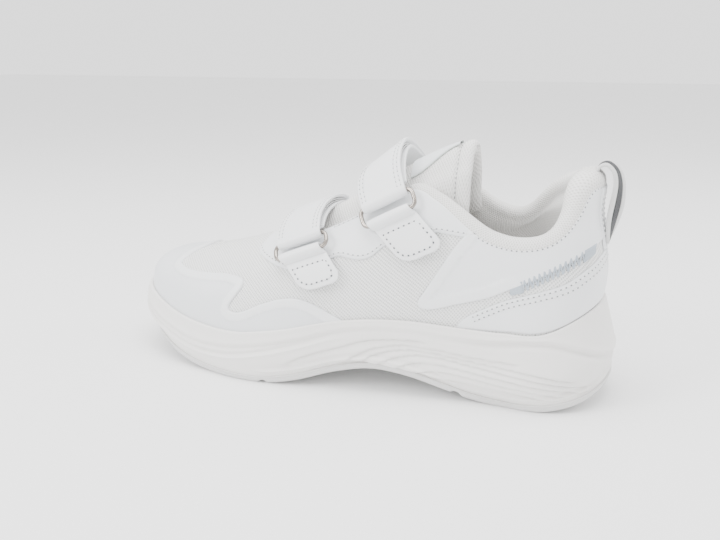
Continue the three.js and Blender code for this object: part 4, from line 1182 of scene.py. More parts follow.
# %% Tongue trim
trim_x = np.linspace(30, SEAM_AT - 0.6, 46)
trim_share = np.linspace(-0.3, 0.3, 25)
trim_rows = []
for x in trim_x:
    shares = trim_share * (1.0 - 0.8 * smoothstep(30, 56, x))
    edge = np.sqrt(np.clip(1 - np.abs(trim_share / 0.3) ** 14, 0, 1))
    trim_rows.append(tongue_point(x, shares, -0.15 - 0.75 * edge + 0.4))
trim_faces = grid_faces(len(trim_x), len(trim_share))
trim = new_piece("tongue_strip", np.vstack(trim_rows), trim_faces, [FILM], "tongue")
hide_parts("tongue_trim")
for sign in (-1, 1):
    path = tongue_point(trim_x, sign * 0.31 * (1.0 - 0.8 * smoothstep(30, 56, trim_x)), 0.1)
    heading = unit(np.gradient(path, axis=0))
    lifted = form_normal(trim_x, np.full(len(trim_x), math.pi / 2))
    out = unit(np.cross(heading, np.cross(lifted, heading)))
    piping = sweep(f"tongue_piping_{'far' if sign > 0 else 'near'}", path, np.cross(out, heading), out,
                   rounded_section(1.3, 0.6, corner=0.5, count=4), [PIPING], "tongue")
print("Tongue strip:", len(trim.data.polygons), "faces")

# %% [markdown]
# Each strap lies in a plane square to the ring it runs through. The strap's path is the last's outline
# in that plane, raised over the tongue; tabs, folds and tapes are offsets of the same path, so the
# layers always clear each other.

# %% The strap's path
RAD = math.radians
STRAP = dict(width=25.0, thickness=1.6, tab_width=23.4, tab_thickness=2.2, tab_lift=2.0, fold_inner=1.4,
             fold_outer=3.0, loop_outer=2.7, bar_height=5.3, wire=1.1, lean=0.38)
PLACES = {"front": dict(x=-18.5, bar=41, axis=48, crown=-1.5),
          "rear": dict(x=27.0, bar=43, axis=50, crown=8.5)}
# The daylight between tab and strap, how far the strap drifts back over the instep, and its twist.
WRAP = {"front": dict(gap=3.0, drift=2.5, twist=0.0), "rear": dict(gap=4.4, drift=5.0, twist=5.0)}
# Angles round the last, in degrees: the tab's foot, the flap's end, and the patch from its edge to the root.
TAB_FOOT, FLAP_TIP, PATCH_EDGE, ROOT = 20, 124, 131, 142
STRAP_HINGES = {joint["name"]: joint for joint in frame["record"]["behaviour"]["joints"]}


class StrapPlane:
    """The flat plane one strap bends in: u runs across the foot and v up, both in mm."""

    def __init__(self, x, bar, axis, crown):
        reach = STRAP["width"] / 2
        along = form_point(x + reach, RAD(axis)) - form_point(x - reach, RAD(axis))
        self.along = along / np.linalg.norm(along)
        self.origin = form_point(x, RAD(bar))
        across = np.array([0.0, 1.0, 0.0]) - self.along * self.along[1]
        self.across = across / np.linalg.norm(across)
        self.up = np.cross(self.along, self.across)
        angles = np.radians(np.linspace(16, 146, 27))
        centre = np.full(27, float(x))
        low, high = centre - 60, centre + 60
        for _ in range(40):
            middle = (low + high) / 2
            beyond = (form_point(middle, angles) - self.origin) @ self.along > 0
            low, high = np.where(beyond, low, middle), np.where(beyond, middle, high)
        offset = form_point(low, angles) - self.origin
        lift = crown * smoothstep(RAD(bar), RAD(90), angles)
        lift -= (crown - 3) * smoothstep(RAD(90), RAD(ROOT), angles)
        flat = np.stack([offset @ self.across, offset @ self.up + lift], -1)
        self.line = smooth_line(flat, 0.25)
        self.crest = np.interp(90, np.degrees(angles), flat[:, 0])
        self.root = np.interp(ROOT, np.degrees(angles), flat[:, 0])
        self.run = travelled_along(self.line)
        nearest = [self.run[np.argmin(np.linalg.norm(self.line - p, axis=1))] for p in flat]
        self.degrees, self.degree_run = np.degrees(angles), np.array(nearest)

    def at_angle(self, degrees):
        return float(np.interp(degrees, self.degrees, self.degree_run))

    def at(self, run, height):
        """Points (u, v) at distances along the path, raised by heights."""
        run, height = np.broadcast_arrays(np.asarray(run, float), np.asarray(height, float))
        point = np.stack([np.interp(run, self.run, c) for c in self.line.T], -1)
        ahead = np.stack([np.interp(run + 0.6, self.run, c) for c in self.line.T], -1)
        behind = np.stack([np.interp(run - 0.6, self.run, c) for c in self.line.T], -1)
        heading = unit(ahead - behind)
        return point + np.stack([-heading[..., 1], heading[..., 0]], -1) * height[..., None]

    def wrapped(self, flat, side, wrap):
        """The (across, up, along) places of a strap's points, drifted and twisted over the instep."""
        share = smoothstep(wrap["from"], self.crest, flat[..., 0])
        turned = share - smoothstep(self.crest, self.root, flat[..., 0])
        up = flat[..., 1] + wrap["twist"] * turned * (side / STRAP["width"] - 0.5)
        return flat[..., 0], up, side + wrap["drift"] * share

    def world(self, flat, side=0.0, wrap=None, lean=None):
        flat = np.asarray(flat, float)
        side = np.broadcast_to(np.asarray(side, float), flat.shape[:-1])
        across, up, along = flat[..., 0], flat[..., 1], side
        if wrap is not None:
            across, up, along = self.wrapped(flat, side, wrap)
        if lean is not None:
            along = along + STRAP["lean"] * (lean - up)
        return (self.origin + across[..., None] * self.across + up[..., None] * self.up
                + along[..., None] * self.along)


print("Joints:", sorted(STRAP_HINGES))

# %% [markdown]
# The strap parts: an anchor tab folded round the ring's lower bar, a flap folded round the upper bar
# and laid back on itself, and the base sewn down on the inner side. All are leather bands, so each is
# a rounded section swept along an offset path; the tab narrows to round lower corners.

# %% Strap pieces
# How round a band's edges are, as a share of its thickness.
BAND_CORNER = 0.5


def band_along(plane, name, run, height, width, thickness, material, body, crown=0.15, scale=None,
               extra=None, wrap=None, lean=None):
    """A band whose middle line is at (run, height) along the strap's path."""
    flat = plane.at(run, height) if extra is None else extra
    flat = even_steps(flat, 0.8)
    heading = unit(np.gradient(flat, axis=0))
    ups = np.stack([-heading[:, 1], heading[:, 0]], -1)
    path = plane.world(flat, 0.0, wrap, lean)
    widths = plane.world(flat, 0.5, wrap, lean) - plane.world(flat, -0.5, wrap, lean)
    up = ups[:, :1] * plane.across + ups[:, 1:] * plane.up
    section = rounded_section(width, thickness, crown, BAND_CORNER)
    return sweep(name, path, widths, up, section, [material], body,
                 scale=None if scale is None else scale(len(flat)))


def rounded_ends(first, last, radius, half):
    """Width scale along a band so that its ends are cut with round corners."""
    def scale(count):
        at = np.arange(count) * 0.8
        result = np.ones(count)
        for distance, on in ((at, first), (at[-1] - at, last)):
            if on:
                t = np.clip(1 - distance / radius, 0, 1)
                result = np.minimum(result, (half - radius * (1 - np.sqrt(1 - t**2))) / half)
        return np.stack([result, np.ones(count)], -1)
    return scale


def arc(centre, radius, start, end, count=16):
    angle = np.linspace(start, end, count)
    return np.asarray(centre) + radius * np.stack([np.cos(angle), np.sin(angle)], -1)


strap_planes, strap_lines = {}, {}
for place, spec in PLACES.items():
    plane = StrapPlane(**spec)
    strap_planes[place] = plane
    bar_run = plane.at_angle(spec["bar"])
    lower_bar = plane.at(bar_run, STRAP["bar_height"])
    upper_run = bar_run
    wrap = WRAP[place]
    spacing = STRAP["fold_outer"] + STRAP["loop_outer"] + wrap["gap"]
    while np.linalg.norm(plane.at(upper_run, STRAP["bar_height"]) - lower_bar) < spacing:
        upper_run += 0.05
    upper_bar = plane.at(upper_run, STRAP["bar_height"])
    wrap["from"] = upper_bar[0]
    slope = plane.at(bar_run + 1, 0) - plane.at(bar_run - 1, 0)
    low_turn = math.atan2(slope[1], slope[0])
    slope = plane.at(upper_run + 1, 0) - plane.at(upper_run - 1, 0)
    top_turn = math.atan2(slope[1], slope[0])

    foot_run = plane.at_angle(TAB_FOOT)
    middle = STRAP["tab_lift"] + STRAP["tab_thickness"] / 2
    eye = (STRAP["fold_inner"] + STRAP["loop_outer"]) / 2
    run = np.linspace(foot_run, bar_run - 2.4, 30)
    up_side = plane.at(run, middle + 0.15 * smoothstep(foot_run, bar_run, run))
    over = arc(lower_bar, eye, low_turn + math.pi * 0.80, low_turn - math.pi * 0.62, 22)
    tab = band_along(plane, f"anchor_tab_{place}_leather", 0, 0, STRAP["tab_width"], 1.35, STRAP_LEATHER,
                     "shoe_body", 0.25, extra=np.vstack([up_side, over]), lean=lower_bar[1],
                     scale=rounded_ends(True, False, 6.5, STRAP["tab_width"] / 2))
    under = band_along(plane, f"anchor_tab_{place}_under", np.linspace(foot_run + 3, bar_run - 3.5, 20),
                       STRAP["tab_lift"] + 0.2, STRAP["tab_width"] - 1, 0.8, STRAP_LEATHER, "shoe_body",
                       lean=lower_bar[1],
                       scale=rounded_ends(True, False, 6, STRAP["tab_width"] / 2))
    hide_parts(f"anchor_tab_{place}")

    flap_end = plane.at_angle(FLAP_TIP)
    fold = (STRAP["fold_inner"] + STRAP["fold_outer"]) / 2
    top_height = STRAP["bar_height"] + fold
    turn = arc(upper_bar, fold, top_turn + math.pi * 1.5, top_turn + math.pi * 0.5, 18)
    back = plane.at(np.linspace(upper_run + 0.5, flap_end, 80), top_height)
    flap = band_along(plane, f"strap_flap_{place}_leather", 0, 0, STRAP["width"], STRAP["thickness"],
                      STRAP_LEATHER, f"{place}_flap", 0.3, extra=np.vstack([turn, back]), wrap=wrap,
                      scale=rounded_ends(False, True, 9, STRAP["width"] / 2))
    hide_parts(f"strap_flap_{place}")

    base_run = np.linspace(upper_run + 4.6, plane.at_angle(ROOT), 60)
    base = band_along(plane, f"strap_base_{place}_leather", base_run, 3.4, STRAP["width"],
                      STRAP["thickness"], STRAP_LEATHER, "shoe_body", 0.1, wrap=wrap)
    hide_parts(f"strap_base_{place}")
    patch_run = np.linspace(plane.at_angle(PATCH_EDGE), plane.at_angle(ROOT), 16)
    patch = band_along(plane, f"root_patch_{place}_leather", patch_run, 4.95, STRAP["width"] - 1, 0.9,
                       STRAP_LEATHER, "shoe_body", 0.1, wrap=wrap,
                       scale=rounded_ends(True, True, 3, STRAP["width"] / 2))
    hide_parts(f"root_patch_{place}")
    for tape, height, end, body in (("hook", 6.0, flap_end - 4, f"{place}_flap"),
                                    ("loop", 4.9, plane.at_angle(PATCH_EDGE) - 1, "shoe_body")):
        strip = band_along(plane, f"{tape}_tape_{place}_pile", np.linspace(upper_run + 6, end, 60), height,
                           STRAP["width"] - 4, 0.75, TAPE, body, 0.0, wrap=wrap)
        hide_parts(f"{tape}_tape_{place}")

    half_wide = STRAP["width"] / 2 + 1 + STRAP["wire"]
    toward = np.append(upper_bar - lower_bar, 0)
    toward = (toward[0] * plane.across + toward[1] * plane.up) / np.linalg.norm(toward)
    centre = plane.world((lower_bar + upper_bar) / 2)
    half_tall, bend = spacing / 2, 3.4
    loop = np.vstack([arc((half_wide - bend, half_tall - bend), bend, 0, math.pi / 2, 10),
                      arc((-half_wide + bend, half_tall - bend), bend, math.pi / 2, math.pi, 10),
                      arc((-half_wide + bend, -half_tall + bend), bend, math.pi, math.pi * 1.5, 10),
                      arc((half_wide - bend, -half_tall + bend), bend, math.pi * 1.5, math.tau, 10)])
    loop = even_steps(np.vstack([loop, loop[:1]]), 0.7)[:-1]
    path = centre + loop[:, :1] * plane.along + loop[:, 1:] * toward
    heading = unit(np.roll(path, -1, 0) - np.roll(path, 1, 0))
    face = np.cross(plane.along, toward)
    wire = arc((0, 0), STRAP["wire"], 0, math.tau, 17)[:-1]
    ring = sweep(f"ring_{place}_wire", path, np.cross(heading, face), np.repeat(face[None, :], len(path), 0),
                 wire, [NICKEL], f"{place}_ring", closed=True)
    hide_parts(f"ring_{place}")
    strap_lines[place] = dict(bar=bar_run, upper=upper_run, foot=foot_run, end=flap_end, top=top_height,
                              level=lower_bar[1])
    print(place, "strap:", round(flap_end - upper_run, 1), "mm flap")

# %% [markdown]
# The heel's pull tab is a loop of ribbed webbing with a dark centre and light edges. Three narrow
# bands side by side along one path show the colours as woven stripes, with no picture of them needed.

# %% Pull tab
PULL_TAB_PATH = [(119.3, 108.5), (119.6, 113), (121.2, 116.6), (124.6, 117.6), (128.6, 114), (130.3, 107.5),
                 (130, 99), (128.7, 90), (127.4, 80)]
PULL_STEP = 0.7
tab_line = smooth_line(PULL_TAB_PATH, PULL_STEP)
tab_path = np.stack([tab_line[:, 0], np.zeros(len(tab_line)), tab_line[:, 1]], -1)
heading = unit(np.gradient(tab_path, axis=0))
turn = RAD(26) * np.sin(np.linspace(0, 1, len(tab_path)) ** 1.8 * math.pi) ** 1.2
inner_way = np.cross(heading, (0.0, 1.0, 0.0))
sideways = np.array([[0.0, 1.0, 0.0]]) * np.cos(turn)[:, None] + inner_way * np.sin(turn)[:, None]
outward = np.cross(heading, sideways)
bands = []
STRIPES = ((-4.7, 3.6, WEBBING_WHITE), (0.0, 5.8, WEBBING_DARK), (4.7, 3.6, WEBBING_WHITE))
for shift, width, material in STRIPES:
    bands.append(sweep("pull_band", tab_path + sideways * shift, sideways, outward,
                       rounded_section(width, 1.5 if shift else 1.4, corner=0.45, count=4), [material]))
pull_loop = join_pieces("pull_loop", bands)
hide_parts("pull_tab")
print("Pull tab length:", round(len(tab_line) * PULL_STEP, 1), "mm")

# %% [markdown]
# The midsole is moulded foam: a rounded lip that hugs the upper, a shadow groove, a second ridge and
# flowing grooves from the arch to the heel. It could be carved with booleans; here the wall is a fine
# grid round the feather line, pushed in and out by a relief drawn in the wall's own coordinates.

# %% Sole curves
ground_height = smooth_curve([(-133, 21), (-122, 15), (-108, 8.5), (-92, 4), (-76, 1), (-62, 0), (-35, .5),
                              (-20, 3.5), (0, 9.5), (18, 12.5), (36, 10.5), (55, 5.5), (72, 1.2), (82, 0),
                              (98, 0), (108, 1.6), (116, 5), (122, 10)])
bottom_flare = smooth_curve([(-133, -2), (-110, 1), (-60, 3), (0, 0), (50, 0), (90, 1), (110, 5), (122, 6)])
bulge_flare = smooth_curve([(-133, 5.5), (-60, 5), (0, 4), (50, 5), (90, 7), (110, 8.5), (122, 8.5)])
bulge_height = smooth_curve([(-133, 28), (-115, 21), (-60, 11), (0, 18), (50, 14), (90, 15), (110, 19),
                             (122, 26)])
lip_flare = smooth_curve([(-127, 3), (-60, 3), (0, 2.5), (90, 3), (122, 2.5)])
OUTSOLE = 3.2


def foot_loop(step=1.1):
    """The feather line seen from above: station, place and outward direction, evenly spaced."""
    station = stations_along(500)
    near, far = form_point(station, 0.0)[:, :2], form_point(station, math.pi)[:, :2]
    loop = np.vstack([near, far[-2:0:-1]])
    stations = np.concatenate([station, station[-2:0:-1]])
    joined = np.column_stack([loop, stations])
    even = even_steps(np.vstack([joined, joined[:1]]), step)[:-1]
    along = unit(np.roll(even[:, :2], -1, 0) - np.roll(even[:, :2], 1, 0))
    out = np.stack([along[:, 1], -along[:, 0]], -1)
    for _ in range(10):
        out = (np.roll(out, 1, 0) + 2 * out + np.roll(out, -1, 0)) / 4
    return even[:, 2], even[:, :2], unit(out)


loop_station, loop_place, loop_out = foot_loop()
print("Feather line:", len(loop_station), "points")


def ring_at(flare, height):
    """One ring round the shoe at a flare and height given per point."""
    return np.column_stack([loop_place + loop_out * np.asarray(flare)[:, None], height])


# %% Midsole wall
def wall_profile(share):
    """Flare and height of the wall for shares 0 at the outsole to 1 at the lip's crest."""
    x = loop_station
    low = ground_height(x) + OUTSOLE + 0.3
    welt = ground_height(x) + (bulge_height(x) - ground_height(x)) * 0.3 + OUTSOLE
    bulge = bulge_height(x) + 1
    shoulder = bulge_height(x) * 0.4 + feather_height(x) * 0.6
    lip = feather_height(x) + 1.2
    flares = [bottom_flare(x) + 0.8, bottom_flare(x) * 0.45 + bulge_flare(x) * 0.55, bulge_flare(x),
              bulge_flare(x) * 0.5 + lip_flare(x) * 0.5, lip_flare(x)]
    heights = [low, welt, bulge, shoulder, lip]
    place = np.clip(share, 0, 1) * 4
    i = min(int(place), 3)
    t = place - i

    def bend(values):
        before = values[max(i - 1, 0)]
        after = values[min(i + 2, 4)]
        a, b = values[i], values[i + 1]
        return 0.5 * (2 * a + (b - before) * t + (2 * before - 5 * a + 4 * b - after) * t**2
                      + (3 * a - before - 3 * b + after) * t**3)

    return bend(flares), bend(heights)


def groove(distance, width, depth):
    """A soft V groove: depth at its line, nothing beyond its width."""
    return -depth * np.exp(-(distance / width) ** 2)


LIP_LINE = smooth_curve([(-133, 31.5), (-115, 24.3), (-95, 18.8), (-80, 16.2), (-60, 16.6), (-40, 20),
                         (-20, 25.0), (0, 31), (15, 33.5), (40, 34), (60, 32.6), (80, 32.6), (98, 34.2),
                         (108, 33.6), (114, 31), (119, 27.5), (122.6, 24.5)])
RIDGE_LINE = smooth_curve([(-133, 28), (-115, 20.5), (-95, 14.5), (-80, 11.5), (-60, 11.8), (-40, 16),
                           (-20, 22), (0, 28.5), (15, 31), (40, 32), (122, 32)])
# Each flowing groove: where it starts low in the arch, its height along the shoe, and where it ends.
FLOW_GROOVES = [
    [(-24.5, 12.2), (-22.5, 14), (-12, 19), (3, 23.9), (16, 28.2), (30, 30), (44, 30.4)],
    [(4, 15.2), (12, 20.5), (22, 25), (36, 27.6), (52, 27), (70, 25.2), (90, 24.6)],
    [(13, 16), (20, 20.6), (32, 24.6), (46, 25.4), (62, 23.8), (80, 22.2), (98, 20.6), (112, 17.2)],
    [(22, 16), (30, 20), (40, 22.7), (52, 22.9), (66, 21.3), (84, 19.2), (100, 17.2), (116, 13.2)],
    [(31, 14.6), (38, 17.8), (48, 19.6), (60, 18.8), (76, 16.9), (92, 15.2), (106, 12.8), (115, 10.4)],
    [(40, 12.4), (47, 14.8), (58, 15.6), (70, 14.5), (84, 12.7), (98, 11), (108, 9)],
    [(49, 10.2), (57, 11.6), (68, 11), (82, 9.6), (94, 8.4), (104, 7.2)],
]
flow_lines = [smooth_line(line, 0.8) for line in FLOW_GROOVES]


def wall_relief(x, z, share):
    """How far the wall stands out or in at a station and height."""
    front, rear = smoothstep(30, -10, x), smoothstep(50, 84, x)
    relief = groove(z - LIP_LINE(x), 1.0 + 0.6 * rear, 0.7 * front + 1.3 * rear + 0.25)
    relief += groove(z - LIP_LINE(x) - 2.4, 1.4, -0.35 - 0.45 * rear)
    ridge = smoothstep(14, -16, x)
    relief += groove(z - RIDGE_LINE(x) - 1.3, 1.1, 1.0 * ridge)
    relief += groove(z - RIDGE_LINE(x) + 0.6, 1.0, -0.7 * ridge)
    rim = ground_height(x) + OUTSOLE + 3.3
    along_rim = smoothstep(-46, -34, x)
    relief += groove(z - rim, 0.9, -0.75 * along_rim) + groove(z - rim - 2.0, 1.3, 0.55 * along_rim)
    points = np.stack([x, z], -1)
    for line in flow_lines:
        close = (x > line[0, 0] - 4) & (x < line[:, 0].max() + 4)
        if close.any():
            distance = np.full(len(x), 99.0)
            distance[close] = distance_to_line(points[close], line, closed=False)
            below = np.interp(x, line[:, 0], line[:, 1]) > z
            step = np.where(below, -0.85, 0.2) * np.exp(-(distance / 2.6) ** 2)
            relief += step + groove(distance, 0.6, 0.45)
    return relief * smoothstep(0.02, 0.1, share) * smoothstep(1.0, 0.93, share)


WALL_ROWS = 84
rings = []
for share in np.linspace(0, 1, WALL_ROWS):
    flare, height = wall_profile(share)
    rings.append(ring_at(flare + wall_relief(loop_station, height, share), height))
crest_flare, crest_height = wall_profile(1.0)
for turn in np.radians([25, 50, 75, 100, 130, 160]):
    rings.append(ring_at(crest_flare - 1.1 * (1 - math.cos(turn)), crest_height + 0.75 * math.sin(turn)))
rings.append(ring_at(np.full(len(crest_flare), 0.55), crest_height - 0.8))
rings.append(ring_at(np.full(len(crest_flare), 0.3), crest_height - 3))
rings.append(ring_at(np.full(len(crest_flare), 0.2), crest_height - 9.5))
rim_low = ring_at(bottom_flare(loop_station) - 3.0, ground_height(loop_station) + OUTSOLE + 0.3)
rings.insert(0, rim_low)
points = np.vstack(rings)
faces = flipped(grid_faces(len(rings), len(loop_station), wrap=True))
run = travelled_along(loop_place)
uv = np.stack(np.broadcast_arrays(run[None, :], np.arange(len(rings))[:, None] * 0.6), -1).reshape(-1, 2)
wall = new_piece("midsole_wall", points, faces, [EVA], uv=uv)
print("Midsole wall:", len(faces), "faces,", WALL_ROWS, "rows")

# %% Closing the midsole
BRIDGE_COLUMNS = 17


def crossings(ring, columns):
    """Shares and points straight across the shoe, row by row from the toe."""
    for i in range(len(ring) // 2 + 1):
        a, b = ring[i], ring[(-i) % len(ring)]
        for t in np.linspace(0, 1, columns):
            yield t, a * (1 - t) + b * t


def bridge(ring_index, reverse):
    """Fill across the shoe between matching points of its two sides."""
    count = len(loop_station)
    ring = points[ring_index * count:(ring_index + 1) * count]
    filled = np.array([point for _, point in crossings(ring, BRIDGE_COLUMNS)])
    cells = grid_faces(count // 2 + 1, BRIDGE_COLUMNS)
    return filled, (flipped(cells) if reverse else cells)


bottom, bottom_faces = bridge(0, True)
cup, cup_faces = bridge(len(rings) - 1, False)
under = new_piece("midsole_under", bottom, bottom_faces, [EVA])
bed = new_piece("midsole_bed", cup, cup_faces, [EVA])
midsole = join_pieces("midsole_body", [wall, under, bed])
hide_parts("midsole")
print("Midsole faces:", len(midsole.data.polygons))

# %% [markdown]
# The outsole is a thin rubber tread. Its edge shows as a narrow band with a fine light line on top,
# and shallow notches cut through its lowest points; below, rows of wavy lugs give it grip.

# %% Outsole
NOTCHES = [(-103.5, 2.2), (-38.5, 2.0), (62.5, 2.2)]


def notch_share(x):
    """1 in the middle of a notch, 0 between notches."""
    return sum(np.exp(-((x - at) / wide) ** 4) for at, wide in NOTCHES)


def tread_lift(x, y):
    """Grooves between lugs, as a height to cut upwards from the ground."""
    wave = x + 3.2 * np.sin(y / 6.5)
    cross = np.exp(-(((wave + 500) % 9.0 - 4.5) / 0.9) ** 2)
    waist = 1 - smoothstep(-14, 0, x) * smoothstep(56, 42, x)
    return 1.1 * cross * waist + 1.5 * notch_share(x)


def tread_ring(flare, height, cut=0.0):
    ring = ring_at(flare, height)
    ring[:, 2] = np.maximum(ring[:, 2], 0.0) + cut * 1.5 * notch_share(loop_station)
    return ring


low, flare_low = ground_height(loop_station) - 0.35, bottom_flare(loop_station)
edge_rings = [tread_ring(flare_low - 0.2, low, 1.0), tread_ring(flare_low + 0.5, low + 0.45, 0.8),
              tread_ring(flare_low + 1.15, low + 1.5, 0.4), tread_ring(flare_low + 1.25, low + 2.6),
              tread_ring(flare_low + 1.3, low + 3.15), tread_ring(flare_low + 1.7, low + 3.3),
              tread_ring(flare_low + 1.9, low + 3.6), tread_ring(flare_low + 1.6, low + 3.9),
              tread_ring(flare_low + 0.6, low + 3.95), tread_ring(flare_low - 3, low + 3.6)]
# The rubber's darker grey paints part of the shade on this band under the midsole.
edge = new_piece("outsole_edge", np.vstack(edge_rings),
                 flipped(grid_faces(len(edge_rings), len(loop_station), wrap=True)), [RUBBER_WITH_SHADE])
tread_points = []
TREAD_COLUMNS = 61
for t, point in crossings(edge_rings[0], TREAD_COLUMNS):
    inside = math.sin(math.pi * t) ** 0.3 if 0 < t < 1 else 0.0
    point[2] += float(tread_lift(point[0], point[1])) * inside
    tread_points.append(point)
tread_faces = flipped(grid_faces(len(loop_station) // 2 + 1, TREAD_COLUMNS))
tread = new_piece("outsole_tread", np.array(tread_points), tread_faces, [RUBBER_WITH_SHADE])
outsole = join_pieces("outsole_rubber", [edge, tread])
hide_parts("outsole")
print("Outsole faces:", len(outsole.data.polygons))

# %% [markdown]
# Small pieces finish the shell: a backstay over the heel seam, the fabric-topped sockliner seen through
# the ankle, and the stiffeners and boards that stay inside and keep their engineering shape.

# %% Backstay and sockliner
def back_point(y, z):
    """The place on the heel at a sideways distance and a height."""
    y, z = np.broadcast_arrays(np.asarray(y, float), np.asarray(z, float))
    flat_y, flat_z = y.ravel(), z.ravel()
    low, high = np.full(flat_y.size, 96.0), np.full(flat_y.size, HEEL - 0.001)
    for _ in range(26):
        station = (low + high) / 2
        a, b = np.zeros(flat_y.size), np.full(flat_y.size, math.pi / 2)
        for _ in range(22):
            turn = (a + b) / 2
            side = np.where(flat_y > 0, math.pi - turn, turn)
            below = form_point(station, side)[:, 2] < flat_z
            a, b = np.where(below, turn, a), np.where(below, b, turn)
        side = np.where(flat_y > 0, math.pi - a, a)
        wide = np.abs(form_point(station, side)[:, 1]) > np.abs(flat_y)
        low, high = np.where(wide, station, low), np.where(wide, high, station)
    point = form_point(low, side)
    point[:, 1] = flat_y
    return point.reshape(*y.shape, 3)


stay_z = np.linspace(76.5, 107.5, 44)
stay_y = np.linspace(-7, 7, 33)
stay = back_point(stay_y[None, :], stay_z[:, None])
stay_out = unit(np.cross(np.gradient(stay, axis=1), np.gradient(stay, axis=0)))
roll = np.sqrt(np.clip(1 - np.abs(stay_y / 7) ** 10, 0, 1))[None, :] * np.sqrt(
    np.clip(1 - np.abs((stay_z - 92) / 15.5) ** 30, 0, 1))[:, None]
stay = stay + stay_out * (0.25 + 1.3 * roll)[..., None]
stay_uv = np.stack(np.broadcast_arrays(stay_z[:, None], stay_y[None, :]), -1).reshape(-1, 2)
stay_faces = grid_faces(*stay.shape[:2])
backstay = new_piece("backstay_leather", stay.reshape(-1, 3), stay_faces, [LEATHER], uv=stay_uv)
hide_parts("backstay")

bed_x = stations_along(90, 4)
bed_near, bed_far = form_point(bed_x, 0.0, 4.0), form_point(bed_x, math.pi, 4.0)
share = np.linspace(0, 1, 31)[None, :, None]
bed_top = bed_near[:, None] * (1 - share) + bed_far[:, None] * share
bed_top[:, :, 2] += -2.2 + 1.6 * np.abs(share[..., 0] * 2 - 1) ** 4
bed_low = bed_top.copy()
bed_low[:, :, 2] -= 3.4
bed_grid = np.concatenate([bed_top, bed_low[:, ::-1]], 1)
bed_share = np.concatenate([share.ravel(), 2 - share.ravel()])
bed_uv = np.stack(np.broadcast_arrays(bed_x[:, None], bed_share[None, :] * 60), -1)
sock = new_piece("sockliner_cloth", bed_grid.reshape(-1, 3), grid_faces(90, 62, wrap=True), [LINING_MESH],
                 uv=bed_uv.reshape(-1, 2))
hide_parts("sockliner")
print("Sockliner top from", bed_top[..., 2].min().round(1), "to", bed_top[..., 2].max().round(1), "mm")

# %% Inner pieces keep their shape
INNER = {"insole_board": BOARD, "toe_puff": BOARD, "heel_counter": BOARD}
for name, material in INNER.items():
    for slot in frame["nodes"][name].material_slots:
        slot.material = material
print("Inner pieces:", list(INNER))

# %% [markdown]
# Stitching is what tells leather from plastic. Each seam is a row of short thread capsules between
# needle holes, laid along a line on the piece; a dashed texture would blur up close. The needle holes
# are flat dark discs on the surface: painted shade in the holes.

# %% Stitches
# A stitch's sections: place along it, width as a share, and height above the surface in mm.
CAPSULE = ((0, 0.35, -0.14), (0.12, 0.8, 0.02), (0.3, 1, 0.1), (0.5, 1.05, 0.13), (0.7, 1, 0.1),
           (0.88, 0.8, 0.02), (1, 0.35, -0.14))


def stitch_row(line, normals, pitch=2.9, length=2.0, radius=0.26, hole=0.36, phase=0.0):
    """Points, faces and material numbers for one row of stitches."""
    run = travelled_along(line)
    middles = np.arange(pitch / 2 + phase, run[-1] - length / 2, pitch)
    points, faces, marks = [], [], []
    for middle in middles:
        ends = []
        for at in (middle - length / 2, middle, middle + length / 2):
            ends.append(np.array([np.interp(at, run, column) for column in line.T]))
        n = np.array([np.interp(middle, run, column) for column in normals.T])
        n /= np.linalg.norm(n)
        along = ends[2] - ends[0]
        along /= np.linalg.norm(along)
        side = np.cross(n, along)
        base = len(points)
        for t, wide, lift in CAPSULE:
            centre = ends[0] * (1 - t) + ends[2] * t + n * lift
            for k in range(6):
                a = k * math.pi / 3
                reach = radius * wide
                points.append(centre + side * (reach * math.cos(a)) + n * (reach * math.sin(a)))
        for i in range(6):
            for k in range(6):
                a, b = base + i * 6 + k, base + i * 6 + (k + 1) % 6
                faces.append((a, b, b + 6, a + 6))
                marks.append(0)
        # Each stitch end gets a flat dark disc just above the surface: painted shade in its needle hole.
        if hole:
            for end, way in ((ends[0], -1), (ends[2], 1)):
                ring = len(points)
                for k in range(8):
                    a = k * math.pi / 4
                    points.append(end + along * (way * 0.16 + hole * math.cos(a))
                                  + side * (hole * 0.8 * math.sin(a)) + n * 0.045)
                faces.append(tuple(range(ring, ring + 8)))
                marks.append(1)
    return points, faces, marks


def stitches(name, rows, body="shoe_body", slot="leather", dark=None, **size):
    points, faces, marks = [], [], []
    for line, normals in rows:
        new_points, new_faces, new_marks = stitch_row(np.asarray(line), np.asarray(normals), **size)
        base = len(points)
        points += new_points
        faces += [tuple(base + v for v in face) for face in new_faces]
        marks += new_marks
    # The second material is the painted shade of the needle holes.
    piece = new_piece(name, np.array(points), faces, [THREAD, dark or HOLE_SHADE], body, face_material=marks)
    return piece


def offset_row(edge_line, distance, height, medial=False):
    """A row on the last, a distance inside a panel's open edge line."""
    tangent = unit(np.gradient(edge_line, axis=0))
    inward = np.stack([-tangent[:, 1], tangent[:, 0]], -1) * (-1 if medial else 1)
    flat = edge_line + inward * distance
    flat = even_steps(soften(flat, 4), 0.8)
    raised = on_last(flat, np.full(len(flat), height))
    below = on_last(flat, np.full(len(flat), height - 1))
    return raised, raised - below


rows = [offset_row(near_edge, 1.9, 1.03), offset_row(far_edge, 1.9, 1.03, True)]
for medial in (False, True):
    throat = throat_line(-6, 14, medial)
    rows.append(offset_row(throat, -1.5, 1.03, medial))
stitches("eyestay_stitches", rows, dark=GREY_HOLE_SHADE, pitch=2.7, length=2.1, radius=0.22)
rows = []
for medial in (False, True):
    edge = before_heel(side_line(HEEL_EDGE[2:], medial))
    rows += [offset_row(edge, -1.5, 0.83, medial), offset_row(edge, -3.9, 0.83, medial)]
stitches("heel_stitches", rows, dark=GREY_HOLE_SHADE, pitch=2.6, length=2.0, hole=0.42)
print("Panel stitching done")

